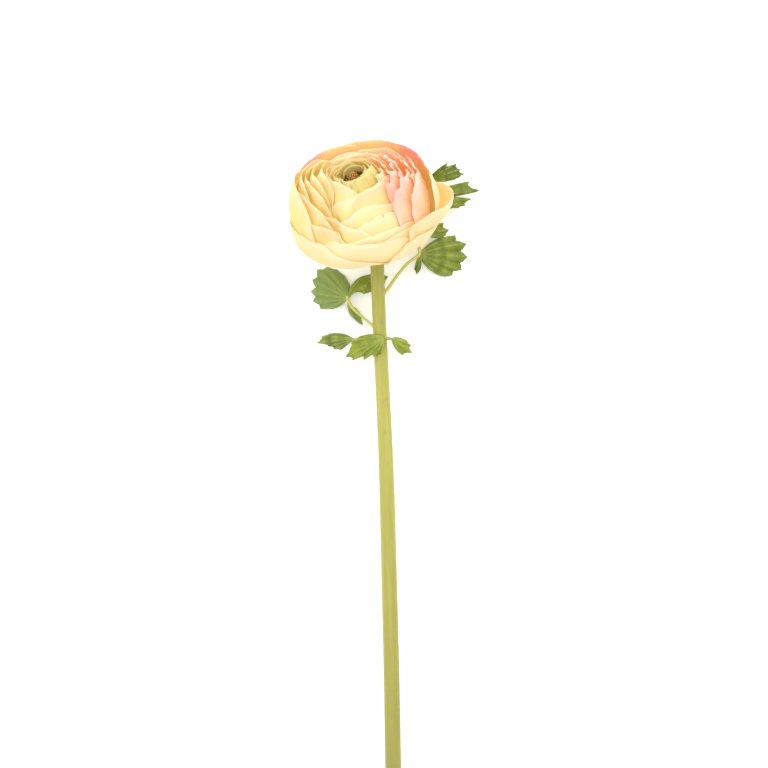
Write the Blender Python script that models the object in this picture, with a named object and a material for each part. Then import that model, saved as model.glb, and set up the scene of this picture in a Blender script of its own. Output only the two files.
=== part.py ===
"""A ranunculus flower, cut and laid down on its side.

One double flower head on a bare stem with three divided leaves. Metres, +Z up,
the origin under the middle of the flower at the level it lies on. +Y runs along
the stem towards the head. Lengths below are in millimetres and angles in
degrees until they are written to a mesh.
"""
import math
from dataclasses import dataclass, field

import bmesh
import bpy
from mathutils import Matrix, Vector

MM = 0.001

# Where the parts are, in the flower's own frame.
HEAD_CENTRE = Vector((-11.1, 166.7, 31.5))
HEAD_TILT = 50.0          # the head's axis, from the vertical
HEAD_LEAN = 24.0          # and its turn to the left in plan

# The head: nested bowls around one axis. "Level" is 0 at the heart, 1 outside.
HEAD_MID = 24.0           # height of the head's centre above its base
HEART_RADIUS = 8.5
HEAD_RADIUS = 38.1
BOWL_FLOOR = (21.5, 0.3)  # lowest point of the innermost and outermost bowl
BOWL_WAIST = (29.5, 22.5)  # height of the widest circle of each
BOWL_CUP = (23.0, 33.0, -16.0)  # depth over the waist, by powers of the level
HEART_DRIFT = 2.4         # how far the heart sits to the right of the axis
PETAL_THICKNESS = 0.3
PETAL_CLAW = 0.42         # width of a petal's foot, of its full width
GROUND_SOFTNESS = 5.0     # petals this close to the table are pressed flatter

RECEPTACLE_MID = 11.3
RECEPTACLE_HALF = (4.4, 10.3)

STEM_PATH = (
    # x, y, z of the centre line and the radius
    (-3.75, 149.95, 16.1, 1.9), (-3.4, 149.0, 15.2, 2.2), (-3.1, 147.4, 13.9, 3.0),
    (-2.9, 143.5, 12.6, 3.5), (-2.8, 135.0, 11.6, 3.5), (-1.75, 108.0, 10.7, 3.4),
    (-0.9, 91.0, 10.2, 3.45), (1.15, 48.0, 9.2, 3.65), (2.35, 13.0, 8.6, 3.85),
    (3.2, -20.0, 7.6, 3.9), (4.4, -70.0, 6.2, 3.95), (5.25, -117.0, 5.2, 4.0),
    (6.2, -160.0, 4.4, 4.0), (7.0, -200.4, 4.0, 4.0),
)
STEM_SIDES = 12
LEAF_THICKNESS = 0.45


def mix(a, b, t):
    return a + (b - a) * t


def ease(x):
    """A smooth step from 0 to 1."""
    x = max(0.0, min(1.0, x))
    return x * x * (3.0 - 2.0 * x)


# ---------------------------------------------------------------- materials

def material(name, rgb, roughness):
    mat = bpy.data.materials.new(name)
    mat.use_nodes = True
    shader = mat.node_tree.nodes["Principled BSDF"]
    shader.inputs["Base Color"].default_value = (*rgb, 1.0)
    shader.inputs["Roughness"].default_value = roughness
    shader.inputs["Metallic"].default_value = 0.0
    return mat


# ---------------------------------------------------------------- the bowls

def bowl(level, beta):
    """Radius and height of a bowl's profile, beta running from foot to rim."""
    radius = mix(HEART_RADIUS, HEAD_RADIUS, level) * math.sin(beta)
    floor = mix(*BOWL_FLOOR, level)
    waist = mix(*BOWL_WAIST, level)
    cup = BOWL_CUP[0] + BOWL_CUP[1] * level + BOWL_CUP[2] * level * level
    c = math.cos(beta)
    return radius, waist - (waist - floor) * c if c > 0 else waist - cup * c


def bowl_offset(level, beta, out):
    """The same point moved outwards, square to the bowl."""
    radius, height = bowl(level, beta)
    r1, h1 = bowl(level, beta - 0.01)
    r2, h2 = bowl(level, beta + 0.01)
    length = math.hypot(r2 - r1, h2 - h1)
    return (radius + out * (h2 - h1) / length,
            height - out * (r2 - r1) / length)


def apart(a, b):
    """How far azimuth a is past azimuth b, from -180 to 180 degrees."""
    return (a - b + 180.0) % 360.0 - 180.0


def bell(x, width):
    """A bump of height 1 at 0."""
    return math.exp(-(x / width) ** 2)


def fuller(level, azimuth):
    """How much the outer bowls swell at the front, on the left and on the right."""
    return level * (6.5 * bell(apart(azimuth, 54.0), 34.0) + 4.2 * bell(apart(azimuth, 266.0), 38.0)
                    + 3.2 * bell(apart(azimuth, 116.0), 22.0) + 2.4 * bell(apart(azimuth, 8.0), 22.0))


def aside(level):
    """How far a bowl is shifted to the right of the head's axis."""
    return HEART_DRIFT * (1.0 - ease(level / 0.7))


def foot_angle(level):
    """Where a petal's foot clears the receptacle."""
    beta = math.radians(3.0)
    while beta < math.radians(80.0):
        radius, height = bowl(level, beta)
        q = (height - RECEPTACLE_MID) / RECEPTACLE_HALF[1]
        inner = RECEPTACLE_HALF[0] * math.sqrt(max(0.0, 1.0 - q * q))
        if radius > max(inner + 0.45 + aside(level), 2.6):
            break
        beta += math.radians(1.0)
    return beta


def head_matrix():
    return (Matrix.Translation(HEAD_CENTRE)
            @ Matrix.Rotation(math.radians(HEAD_LEAN), 4, "Z")
            @ Matrix.Rotation(math.radians(-HEAD_TILT), 4, "X"))


def lie_on_table(point, spin):
    """Press a point of the head flatter where it would meet the table."""
    world = head_matrix() @ spin
    p = world @ point
    sag, top, keep = 0.75, GROUND_SOFTNESS, 0.62
    if p.z < top:
        bend = (1.0 - keep) / (2.0 * (top + sag))
        depth = max(p.z + sag, 0.0)
        reach = keep * (top + sag) + bend * (top + sag) ** 2
        p.z = max((keep * depth + bend * depth * depth) * top / reach, PETAL_THICKNESS / 2.0)
    return world.inverted() @ p


@dataclass
class Petal:
    """One petal: a patch of a bowl, narrow at its foot and round at its rim."""
    name: str
    azimuth: float            # 0 faces front, 90 right, 180 back
    half: float = 60.0        # half its width, as an angle round the axis
    rim: float = 120.0        # how far it closes over: 90 is upright
    tilt: float = 0.0         # rim higher on the right than on the left
    ruffle: float = 0.2       # size of the waves at the rim
    waves: float = 2.5
    shoulder: float = 0.6     # where the corners start to round off
    kick: float = 0.0         # how far the rim stands away from the head
    out: float = 0.0
    foot: float = 0.0         # where it starts, if not at the receptacle
    across: int = 8
    along: int = 8
    level: float = 0.0

    def point(self, u, v):
        """A point of the petal, u from -1 to 1 across and v from foot to rim."""
        across, along = u, v
        if v > self.shoulder:
            q = (v - self.shoulder) / (1.0 - self.shoulder)
            across = u * math.sqrt(1.0 - 0.45 * q * q)
            along = self.shoulder + (1.0 - self.shoulder) * q * math.sqrt(1.0 - 0.45 * u * u)
        width = PETAL_CLAW + (1.0 - PETAL_CLAW) * ease(along / 0.55)
        foot = max(foot_angle(self.level), math.radians(self.foot))
        rim = math.radians(self.rim + self.tilt * across * along)
        beta = foot + along * (rim - foot)
        turn = self.half * width * across
        out = self.out + 0.2 * self.ruffle * math.sin(self.waves * math.pi * u + self.azimuth) * ease((along - 0.5) * 2.0)
        out += self.kick * math.exp(-((across - 0.2) / 0.45) ** 2) * ease((along - 0.68) / 0.32)
        out += fuller(self.level, self.azimuth + turn) * ease((math.degrees(beta) - 12.0) / 40.0)
        radius, height = bowl_offset(self.level, beta, out)
        turn, back, side = math.radians(turn), math.radians(self.azimuth), aside(self.level)
        return Vector((radius * math.sin(turn) + side * math.cos(back),
                       -radius * math.cos(turn) - side * math.sin(back), height - HEAD_MID))

    def build(self, head, mat):
        spin = Matrix.Rotation(math.radians(self.azimuth), 4, "Z")
        bm = bmesh.new()
        bmesh.ops.create_grid(bm, x_segments=self.across, y_segments=self.along, size=1.0)
        for vert in bm.verts:
            u, v = vert.co.x, ((vert.co.y + 1.0) / 2.0) ** 1.15
            vert.co = lie_on_table(self.point(u, v), spin) * MM
        bmesh.ops.recalc_face_normals(bm, faces=bm.faces)
        obj = new_object(self.name, bm, mat)
        obj.parent = head
        obj.rotation_euler.z = math.radians(self.azimuth)
        thicken(obj, PETAL_THICKNESS)
        return obj


def new_object(name, bm, mat):
    mesh = bpy.data.meshes.new(name)
    bm.to_mesh(mesh)
    bm.free()
    mesh.shade_smooth()
    if mat:
        mesh.materials.append(mat)
    obj = bpy.data.objects.new(name, mesh)
    bpy.context.scene.collection.objects.link(obj)
    return obj


def thicken(obj, thickness):
    mod = obj.modifiers.new("thickness", "SOLIDIFY")
    mod.thickness = thickness * MM
    mod.offset = 0.0
    mod.use_rim = True


def settle_levels(petals):
    """Give each petal a bowl between the petals it overlaps and those that overlap it."""
    def touch(p, q):
        return abs(apart(p.azimuth, q.azimuth)) < p.half + q.half + 3.0

    below, above = [0.0] * len(petals), [0.0] * len(petals)
    for i, petal in enumerate(petals):
        below[i] = max((below[j] + 1.0 for j in range(i) if touch(petal, petals[j])), default=0.0)
    for i in reversed(range(len(petals))):
        above[i] = max((above[j] + 1.0 for j in range(i + 1, len(petals)) if touch(petals[i], petals[j])), default=0.0)
    for petal, low, high in zip(petals, below, above):
        petal.level = low / (low + high)


def petals():
    """The petals in the order they open, from the heart outwards."""
    heart = [Petal(f"petal_heart_{i + 1}", azimuth=(20.0 + 137.5 * i) % 360.0, half=66.0,
                   rim=134.0 - 0.5 * (i // 3), ruffle=0.0, shoulder=0.75,
                   across=6, along=6) for i in range(9)]
    inner = [
        Petal("petal_inner_1", 175.0, 54.0, 125.0, ruffle=0.25, waves=3.0),
        Petal("petal_inner_2", 112.0, 52.0, 124.0, ruffle=0.25, waves=3.0),
        Petal("petal_inner_3", 218.0, 52.0, 124.0),
        Petal("petal_inner_4", 72.0, 45.0, 118.0, ruffle=0.3, waves=3.0),
        Petal("petal_inner_5", 160.0, 52.0, 120.0),
        Petal("petal_inner_6", 248.0, 54.0, 133.0, ruffle=0.15),
        Petal("petal_inner_7", 303.0, 60.0, 131.0, -8.0, ruffle=0.1, shoulder=0.7),
        Petal("petal_right_1", 110.0, 41.0, 121.0, ruffle=0.25, waves=3.0),
        Petal("petal_left_1", 245.0, 56.0, 138.0, ruffle=0.1),
        Petal("petal_back_1", 148.0, 52.0, 117.0),
        Petal("petal_front_1", 8.0, 76.0, 116.5, ruffle=0.1, shoulder=0.82),
    ]
    middle = [
        Petal("petal_right_2", 72.0, 36.0, 115.0, ruffle=0.5, waves=3.0),
        Petal("petal_back_2", 196.0, 52.0, 116.0),
        Petal("petal_front_2", 358.0, 52.0, 104.0, -3.0, ruffle=0.15, shoulder=0.7),
        Petal("petal_right_3", 100.0, 40.0, 117.0, ruffle=0.5, waves=3.0),
        Petal("petal_left_2", 245.0, 57.0, 134.0, ruffle=0.15),
        Petal("petal_front_3", 10.0, 50.0, 96.0, -5.0, ruffle=0.15),
        Petal("petal_right_4", 64.0, 36.0, 109.0, ruffle=0.5, waves=3.0),
        Petal("petal_back_3", 160.0, 50.0, 112.0, ruffle=0.25),
        Petal("petal_left_3", 250.0, 56.0, 129.0, ruffle=0.15, shoulder=0.7),
        Petal("petal_front_4", 302.0, 62.0, 104.0, -6.0, ruffle=0.15, shoulder=0.7),
        Petal("petal_right_5", 97.0, 40.0, 113.0, ruffle=0.3, waves=3.0),
        Petal("petal_back_4", 190.0, 47.0, 110.0, ruffle=0.1),
        Petal("petal_front_5", 12.0, 54.0, 86.0, -14.0, ruffle=0.15),
        Petal("petal_left_4", 238.0, 50.0, 130.0, ruffle=0.1),
        Petal("petal_back_5", 136.0, 47.0, 111.0, ruffle=0.3),
    ]
    outer = [
        Petal("petal_left_5", 260.0, 54.0, 121.0, ruffle=0.15),
        Petal("petal_front_6", 297.0, 60.0, 101.0, -15.0, ruffle=0.15, shoulder=0.7),
        Petal("petal_right_6", 84.0, 42.0, 109.0, ruffle=0.25),
        Petal("petal_back_6", 178.0, 49.0, 108.0, ruffle=0.25),
        Petal("petal_front_7", 24.0, 56.0, 76.0, -12.0, ruffle=0.15),
        Petal("petal_left_6", 250.0, 46.0, 127.0, ruffle=0.1),
        Petal("petal_right_7", 97.0, 42.0, 108.0, out=0.3),
        Petal("petal_front_8", 345.0, 50.0, 88.0, -14.0, ruffle=0.1),
        Petal("petal_back_7", 198.0, 47.0, 120.0, ruffle=0.1),
        Petal("petal_right_8", 64.0, 38.0, 86.0, ruffle=0.15, kick=7.0),
        Petal("petal_back_8", 152.0, 50.0, 115.0, ruffle=0.25),
        Petal("petal_front_9", 303.0, 60.0, 89.0, -24.0, ruffle=0.1),
        Petal("petal_front_10", 42.0, 45.0, 66.0, -6.0, ruffle=0.1),
    ]
    for ring, across, along in ((inner, 7, 6), (middle, 8, 6), (outer, 9, 7)):
        for petal in ring:
            petal.across, petal.along = across, along + 2 * (petal.rim > 128.0)
    rows = heart + inner + middle + outer
    settle_levels(rows)
    return rows


def sepals():
    """Five short sepals under the outermost petals."""
    return [Petal(f"sepal_{i + 1}", azimuth=36.0 + 72.0 * i, half=26.0, rim=22.0,
                  ruffle=0.0, shoulder=0.4, out=0.8, foot=7.5, across=4, along=3, level=1.0)
            for i in range(5)]


# ---------------------------------------------------------------- the heart

def build_receptacle(head, mat):
    """The swollen top of the stem that every petal grows from."""
    bm = bmesh.new()
    bmesh.ops.create_uvsphere(bm, u_segments=12, v_segments=8, radius=1.0)
    obj = new_object("receptacle", bm, mat)
    for vert in obj.data.vertices:
        vert.co = Vector((vert.co.x * RECEPTACLE_HALF[0], vert.co.y * RECEPTACLE_HALF[0],
                          vert.co.z * RECEPTACLE_HALF[1])) * MM
    obj.parent = head
    obj.location.z = (RECEPTACLE_MID - HEAD_MID) * MM


def build_carpels(head, mat):
    """The cone of carpels that shows in the flower's eye."""
    profile = ((0.0, 22.0), (2.0, 22.0), (2.7, 25.0), (2.9, 34.0), (2.6, 39.5), (1.9, 43.0), (0.7, 45.0), (0.0, 45.2))
    bm = bmesh.new()
    verts = [bm.verts.new((r * MM, 0.0, (h - HEAD_MID) * MM)) for r, h in profile]
    edges = [bm.edges.new(pair) for pair in zip(verts, verts[1:])]
    bmesh.ops.spin(bm, geom=verts + edges, cent=(0, 0, 0), axis=(0, 0, 1),
                   angle=2.0 * math.pi, steps=14, use_merge=False)
    bmesh.ops.remove_doubles(bm, verts=bm.verts, dist=1e-6)
    bmesh.ops.recalc_face_normals(bm, faces=bm.faces)
    obj = new_object("carpel_cone", bm, mat)
    obj.parent = head
    obj.location.x = HEART_DRIFT * MM


def build_stamens(head, mat):
    """A crown of stamens on one ring, standing around the carpels."""
    sides, inner, outer = 28, 3.25, 4.0
    low, top, tip = 24.0, 25.0, 39.0
    bm = bmesh.new()
    rings = [[bm.verts.new((r * MM * math.cos(2 * math.pi * i / sides),
                            r * MM * math.sin(2 * math.pi * i / sides),
                            (h - HEAD_MID) * MM)) for i in range(sides)]
             for r, h in ((inner, low), (outer, low), (outer, top), (inner, top))]
    tops = []
    for k in range(4):
        a, b = rings[k], rings[(k + 1) % 4]
        for i in range(sides):
            j = (i + 1) % sides
            face = bm.faces.new((a[i], a[j], b[j], b[i]))
            if k == 2 and i % 2 == 0:
                tops.append(face)
    for face in bmesh.ops.extrude_discrete_faces(bm, faces=tops)["faces"]:
        centre = face.calc_center_median()
        reach = centre.xy.normalized() * 0.9 * MM
        for vert in face.verts:
            vert.co.xy = vert.co.xy + reach
            vert.co.z += (tip - top) * MM
    bmesh.ops.recalc_face_normals(bm, faces=bm.faces)
    obj = new_object("stamen_ring", bm, mat)
    obj.parent = head
    obj.location.x = HEART_DRIFT * MM


# ---------------------------------------------------------------- stem and leaves

def smooth_path(points, steps):
    """A Catmull-Rom curve through points of any number of coordinates."""
    rows = [points[0]] + list(points) + [points[-1]]
    out = []
    for a, b, c, d in zip(rows, rows[1:], rows[2:], rows[3:]):
        for k in range(steps):
            t = k / steps
            out.append(tuple(0.5 * (2 * q + (r - p) * t + (2 * p - 5 * q + 4 * r - s) * t * t
                                    + (3 * q - p - 3 * r + s) * t ** 3)
                             for p, q, r, s in zip(a, b, c, d)))
    out.append(tuple(points[-1]))
    return out


def sweep(points, sides):
    """A closed round tube through x, y, z, radius points."""
    bm = bmesh.new()
    centres = [Vector(p[:3]) for p in points]
    rings = []
    for i, (centre, row) in enumerate(zip(centres, points)):
        ahead = (centres[min(i + 1, len(points) - 1)] - centres[max(i - 1, 0)]).normalized()
        side = ahead.cross(Vector((0, 0, 1))).normalized()
        up = side.cross(ahead)
        rings.append([bm.verts.new((centre + (side * math.cos(2 * math.pi * k / sides)
                                              + up * math.sin(2 * math.pi * k / sides)) * row[3]) * MM)
                      for k in range(sides)])
    for a, b in zip(rings, rings[1:]):
        for k in range(sides):
            bm.faces.new((a[k], a[(k + 1) % sides], b[(k + 1) % sides], b[k]))
    bm.faces.new(rings[0])
    bm.faces.new(rings[-1])
    bmesh.ops.recalc_face_normals(bm, faces=bm.faces)
    return bm


@dataclass
class Leaflet:
    """A lobed blade that fans out from the point where it is attached."""
    base: tuple               # x, y, z
    heading: float            # 0 is +X, 90 is +Y
    length: float
    spread: float             # half the angle it fans out through
    lobes: int = 3
    cut: float = 0.18         # depth of the notches between lobes
    lean: float = 0.0         # longer towards the left (+) or the right (-)
    rise: float = 0.0         # height gained at the tip
    arch: float = 2.0         # height of its back above the straight line
    roll: float = 0.0         # the left side above the right
    bend: float = 0.0         # how far its tip turns to the left
    across: int = 8
    along: int = 4

    def point(self, u, v):
        turn = self.spread * u
        lobe = 0.5 + 0.5 * math.cos(math.pi * self.lobes * u)
        if self.lobes % 2 == 0:
            lobe = 1.0 - lobe
        reach = self.length * (1.0 - 0.42 * u * u + self.lean * u) * (1.0 - self.cut * (1.0 - lobe))
        angle = math.radians(self.heading + turn * (1.0 - 0.18 * v * v) + self.bend * v * v)
        away = reach * v
        foot = 0.6 * u * (1.0 - v)
        square = math.radians(self.heading + 90.0)
        height = (self.rise + self.roll * u) * v + self.arch * 4.0 * v * (1.0 - v)
        x, y, z = self.base
        return Vector((x + away * math.cos(angle) + foot * math.cos(square),
                       y + away * math.sin(angle) + foot * math.sin(square), z + height))

    def mesh(self):
        bm = bmesh.new()
        bmesh.ops.create_grid(bm, x_segments=self.across, y_segments=self.along, size=1.0)
        for vert in bm.verts:
            vert.co = self.point(vert.co.x, (vert.co.y + 1.0) / 2.0) * MM
        bmesh.ops.recalc_face_normals(bm, faces=bm.faces)
        return bm


@dataclass
class Leaf:
    """A divided leaf: leaf stalks and leaflets grown into one piece."""
    name: str
    stalks: list = field(default_factory=list)
    leaflets: list = field(default_factory=list)

    def build(self, mat):
        first = new_object(self.name, sweep(smooth_path(self.stalks[0], 3), 8), mat)
        parts = [new_object(f"{self.name}_stalk_{i}", sweep(smooth_path(s, 3), 8), mat)
                 for i, s in enumerate(self.stalks[1:], 2)]
        for i, leaflet in enumerate(self.leaflets, 1):
            blade = new_object(f"{self.name}_blade_{i}", leaflet.mesh(), mat)
            thicken(blade, LEAF_THICKNESS)
            parts.append(blade)
        for part in parts:
            part.hide_render = True
            part.display_type = "WIRE"
            join = first.modifiers.new(part.name, "BOOLEAN")
            join.operation = "UNION"
            join.object = part
            join.solver = "EXACT"
        return first


def leaves():
    right = Leaf("leaf_right", stalks=[
        [(3.0, 127.2, 10.6, 0.9), (7.0, 133.5, 10.5, 0.85), (12.5, 139.5, 10.0, 0.8),
         (18.2, 143.9, 9.0, 0.9), (18.2, 149.0, 7.2, 0.85), (18.6, 157.0, 5.2, 0.8), (19.8, 166.0, 4.8, 0.8),
         (21.6, 174.5, 5.7, 0.8), (23.4, 182.5, 6.5, 0.7)],
    ], leaflets=[
        Leaflet((19.0, 144.2, 8.8), -6.0, 25.5, 56.0, lobes=5, cut=0.12, lean=0.08, rise=-8.6, arch=2.0, across=10),
        Leaflet((19.2, 144.0, 8.8), -102.0, 10.5, 26.0, lobes=1, cut=0.0, rise=-4.0, arch=1.5, across=4),
        Leaflet((18.4, 155.2, 5.6), 5.0, 15.5, 34.0, lobes=3, cut=0.15, rise=-0.6, across=6, along=3),
        Leaflet((21.2, 172.6, 5.6), 0.0, 28.7, 34.0, lobes=3, cut=0.22, rise=2.0, across=6),
        Leaflet((23.4, 182.0, 6.6), 20.0, 18.4, 36.0, lobes=3, cut=0.15, rise=3.0, across=6),
    ])
    left = Leaf("leaf_left", stalks=[
        [(-5.9, 108.4, 10.5, 0.8), (-11.0, 112.5, 10.0, 0.75), (-15.0, 116.0, 9.0, 0.8),
         (-17.8, 120.5, 7.5, 0.9), (-18.4, 123.0, 7.0, 0.8)],
    ], leaflets=[
        Leaflet((-18.4, 121.8, 7.2), 155.0, 22.3, 62.0, lobes=5, cut=0.12, lean=-0.22, rise=-6.3, arch=1.5, across=10),
        Leaflet((-17.8, 122.0, 7.2), 68.0, 23.5, 18.0, lobes=1, cut=0.0, rise=-2.5, arch=-0.6, bend=-40.0, across=4),
        Leaflet((-17.5, 119.6, 8.0), -80.0, 14.0, 27.0, lobes=1, cut=0.0, rise=-6.0, arch=2.0, bend=22.0, across=4),
    ])
    lower = Leaf("leaf_lower", stalks=[
        [(3.4, 100.5, 15.2, 0.9), (1.0, 101.6, 15.5, 1.0), (-3.0, 101.3, 15.6, 1.0),
         (-9.0, 100.5, 15.3, 0.9), (-16.5, 100.8, 13.5, 0.7)],
        [(2.0, 101.2, 15.4, 0.9), (4.5, 101.0, 14.8, 0.8), (7.0, 100.6, 13.2, 0.7)],
    ], leaflets=[
        Leaflet((-15.5, 100.9, 13.8), 188.0, 18.8, 34.0, lobes=3, cut=0.15, lean=-0.1, rise=-6.0, arch=1.0, across=6),
        Leaflet((-0.6, 101.4, 15.6), 214.0, 21.0, 56.0, lobes=4, cut=0.14, rise=-2.4, roll=1.6, arch=1.0, across=10),
        Leaflet((5.0, 100.9, 13.9), -34.0, 13.0, 42.0, lobes=3, cut=0.14, rise=-5.0, arch=1.0, across=6),
    ])
    return [right, left, lower]


def main():
    for obj in list(bpy.data.objects):
        bpy.data.objects.remove(obj, do_unlink=True)

    heart = material("petal_heart", (0.80, 0.72, 0.28), 0.6)
    cream = material("petal_cream", (0.93, 0.80, 0.46), 0.6)
    coral = material("petal_coral", (0.95, 0.52, 0.36), 0.6)
    green = material("leaf_green", (0.29, 0.36, 0.09), 0.6)
    stalk = material("stem_green", (0.47, 0.46, 0.13), 0.5)
    brown = material("carpel_brown", (0.54, 0.32, 0.18), 0.7)
    yellow = material("stamen_yellow", (0.55, 0.42, 0.10), 0.7)

    head = bpy.data.objects.new("head", None)
    bpy.context.scene.collection.objects.link(head)
    head.location = HEAD_CENTRE * MM
    head.rotation_euler = (math.radians(-HEAD_TILT), 0.0, math.radians(HEAD_LEAN))

    for petal in petals():
        side = "heart" in petal.name or "inner" in petal.name
        petal.build(head, heart if side else coral if "right" in petal.name else cream)
    for sepal in sepals():
        sepal.build(head, green)
    build_receptacle(head, stalk)
    build_carpels(head, brown)
    build_stamens(head, yellow)

    new_object("stem", sweep(smooth_path(STEM_PATH, 2), STEM_SIDES), stalk)
    for leaf in leaves():
        leaf.build(green)


main()
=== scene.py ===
"""Looks of a cut ranunculus that lies on its side.

A double flower of thin petals around an eye of carpels and stamens, on a bare
stem with three divided leaves. Lengths are in millimetres and angles in degrees
until a mesh is written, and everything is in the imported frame: +Z up, +Y along
the stem towards the flower.
"""
import logging
import math
import random
from dataclasses import dataclass, field
from enum import Enum
from typing import Any

import bpy
import numpy as np
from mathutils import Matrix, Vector


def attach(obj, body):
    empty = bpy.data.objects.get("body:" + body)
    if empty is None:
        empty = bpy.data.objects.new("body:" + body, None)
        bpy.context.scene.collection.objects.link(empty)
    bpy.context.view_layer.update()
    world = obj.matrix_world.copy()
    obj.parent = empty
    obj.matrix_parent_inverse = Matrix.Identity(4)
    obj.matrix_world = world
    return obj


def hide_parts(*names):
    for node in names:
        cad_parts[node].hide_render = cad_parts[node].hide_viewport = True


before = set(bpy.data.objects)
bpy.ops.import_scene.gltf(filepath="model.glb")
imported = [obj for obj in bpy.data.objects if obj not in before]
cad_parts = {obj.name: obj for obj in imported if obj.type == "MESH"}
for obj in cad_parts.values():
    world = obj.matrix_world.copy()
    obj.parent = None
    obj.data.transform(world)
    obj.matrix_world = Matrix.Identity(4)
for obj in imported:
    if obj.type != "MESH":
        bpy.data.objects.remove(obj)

log = logging.getLogger("ranunculus")
MM = 0.001
COLOUR_MIX = {"data_type": "RGBA"}
Stops = tuple[tuple[float, str], ...]


# ------------------------------------------------------------------ small tools

class Slot(Enum):
    """The record's material slots."""

    CREAM = "cream_petal"
    CORAL = "coral_petal"
    HEART = "heart_petal"
    SEPAL = "sepal"
    LEAF = "leaf"
    STEM = "stem"
    RECEPTACLE = "receptacle"
    CARPEL = "carpel"
    STAMEN = "stamen"


def linear(hex_colour: str) -> tuple[float, float, float, float]:
    """Turn an sRGB hex colour into a linear colour with full alpha.

    Args:
        hex_colour: A colour such as "#fceab0".

    Returns:
        Red, green, blue and alpha, linear.
    """
    parts = [int(hex_colour[i:i + 2], 16) / 255.0 for i in (1, 3, 5)]
    r, g, b = (c / 12.92 if c <= 0.04045 else ((c + 0.055) / 1.055) ** 2.4 for c in parts)
    return r, g, b, 1.0


def add_node(tree: bpy.types.NodeTree, kind: str, settings: dict[str, Any] | None = None,
             links: dict[Any, Any] | None = None) -> bpy.types.Node:
    """Add a shader node with its settings, values and links.

    Args:
        tree: The node tree it goes in.
        kind: The node's type, without "ShaderNode" in front.
        settings: Properties of the node. "stops" fills a colour ramp.
        links: Input sockets, by name or number, and what each gets: a node,
            of which the first output in use is taken, an output, or a value.

    Returns:
        The new node.
    """
    node = tree.nodes.new("ShaderNode" + kind)
    for name, value in (settings or {}).items():
        if name == "stops":
            elements = node.color_ramp.elements
            while len(elements) < len(value):
                elements.new(0.5)
            for element, (position, colour) in zip(elements, value):
                element.position = position
                element.color = linear(colour)
        else:
            setattr(node, name, value)
    for socket, source in (links or {}).items():
        if isinstance(source, bpy.types.Node):
            source = next(output for output in source.outputs if output.enabled)
        if isinstance(source, bpy.types.NodeSocket):
            tree.links.new(source, node.inputs[socket])
        else:
            node.inputs[socket].default_value = source
    return node


def new_material(name: str) -> tuple[bpy.types.Material, bpy.types.NodeTree]:
    """Make an empty material.

    Args:
        name: The finish's name.

    Returns:
        The material and its node tree.
    """
    material = bpy.data.materials.new(name)
    material.use_nodes = True
    tree = material.node_tree
    tree.nodes.clear()
    return material, tree


def ease(x: Any) -> Any:
    """A smooth step from 0 to 1, for a number or an array."""
    x = np.clip(x, 0.0, 1.0)
    return x * x * (3.0 - 2.0 * x)


def bell(x: Any, centre: float, width: float) -> Any:
    """A bump of height 1 at centre."""
    return np.exp(-(((x - centre) / width) ** 2))


def apart(a: Any, b: float) -> Any:
    """How far azimuth a is past azimuth b, from -180 to 180 degrees."""
    return (a - b + 180.0) % 360.0 - 180.0


def smooth_path(points: Any, steps: int) -> np.ndarray:
    """Run a Catmull-Rom curve through points.

    Args:
        points: Rows of coordinates, with any further columns such as a radius.
        steps: Pieces between two rows.

    Returns:
        The finer rows.
    """
    rows = np.array([points[0], *points, points[-1]], float)
    out = []
    for p, q, r, s in zip(rows, rows[1:], rows[2:], rows[3:]):
        for t in np.arange(steps) / steps:
            out.append(0.5 * (2 * q + (r - p) * t + (2 * p - 5 * q + 4 * r - s) * t * t
                              + (3 * q - p - 3 * r + s) * t ** 3))
    return np.array([*out, rows[-1]])


def unit(vectors: np.ndarray) -> np.ndarray:
    """Vectors of length 1, along the last axis."""
    return vectors / np.maximum(np.linalg.norm(vectors, axis=-1, keepdims=True), 1e-9)


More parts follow.
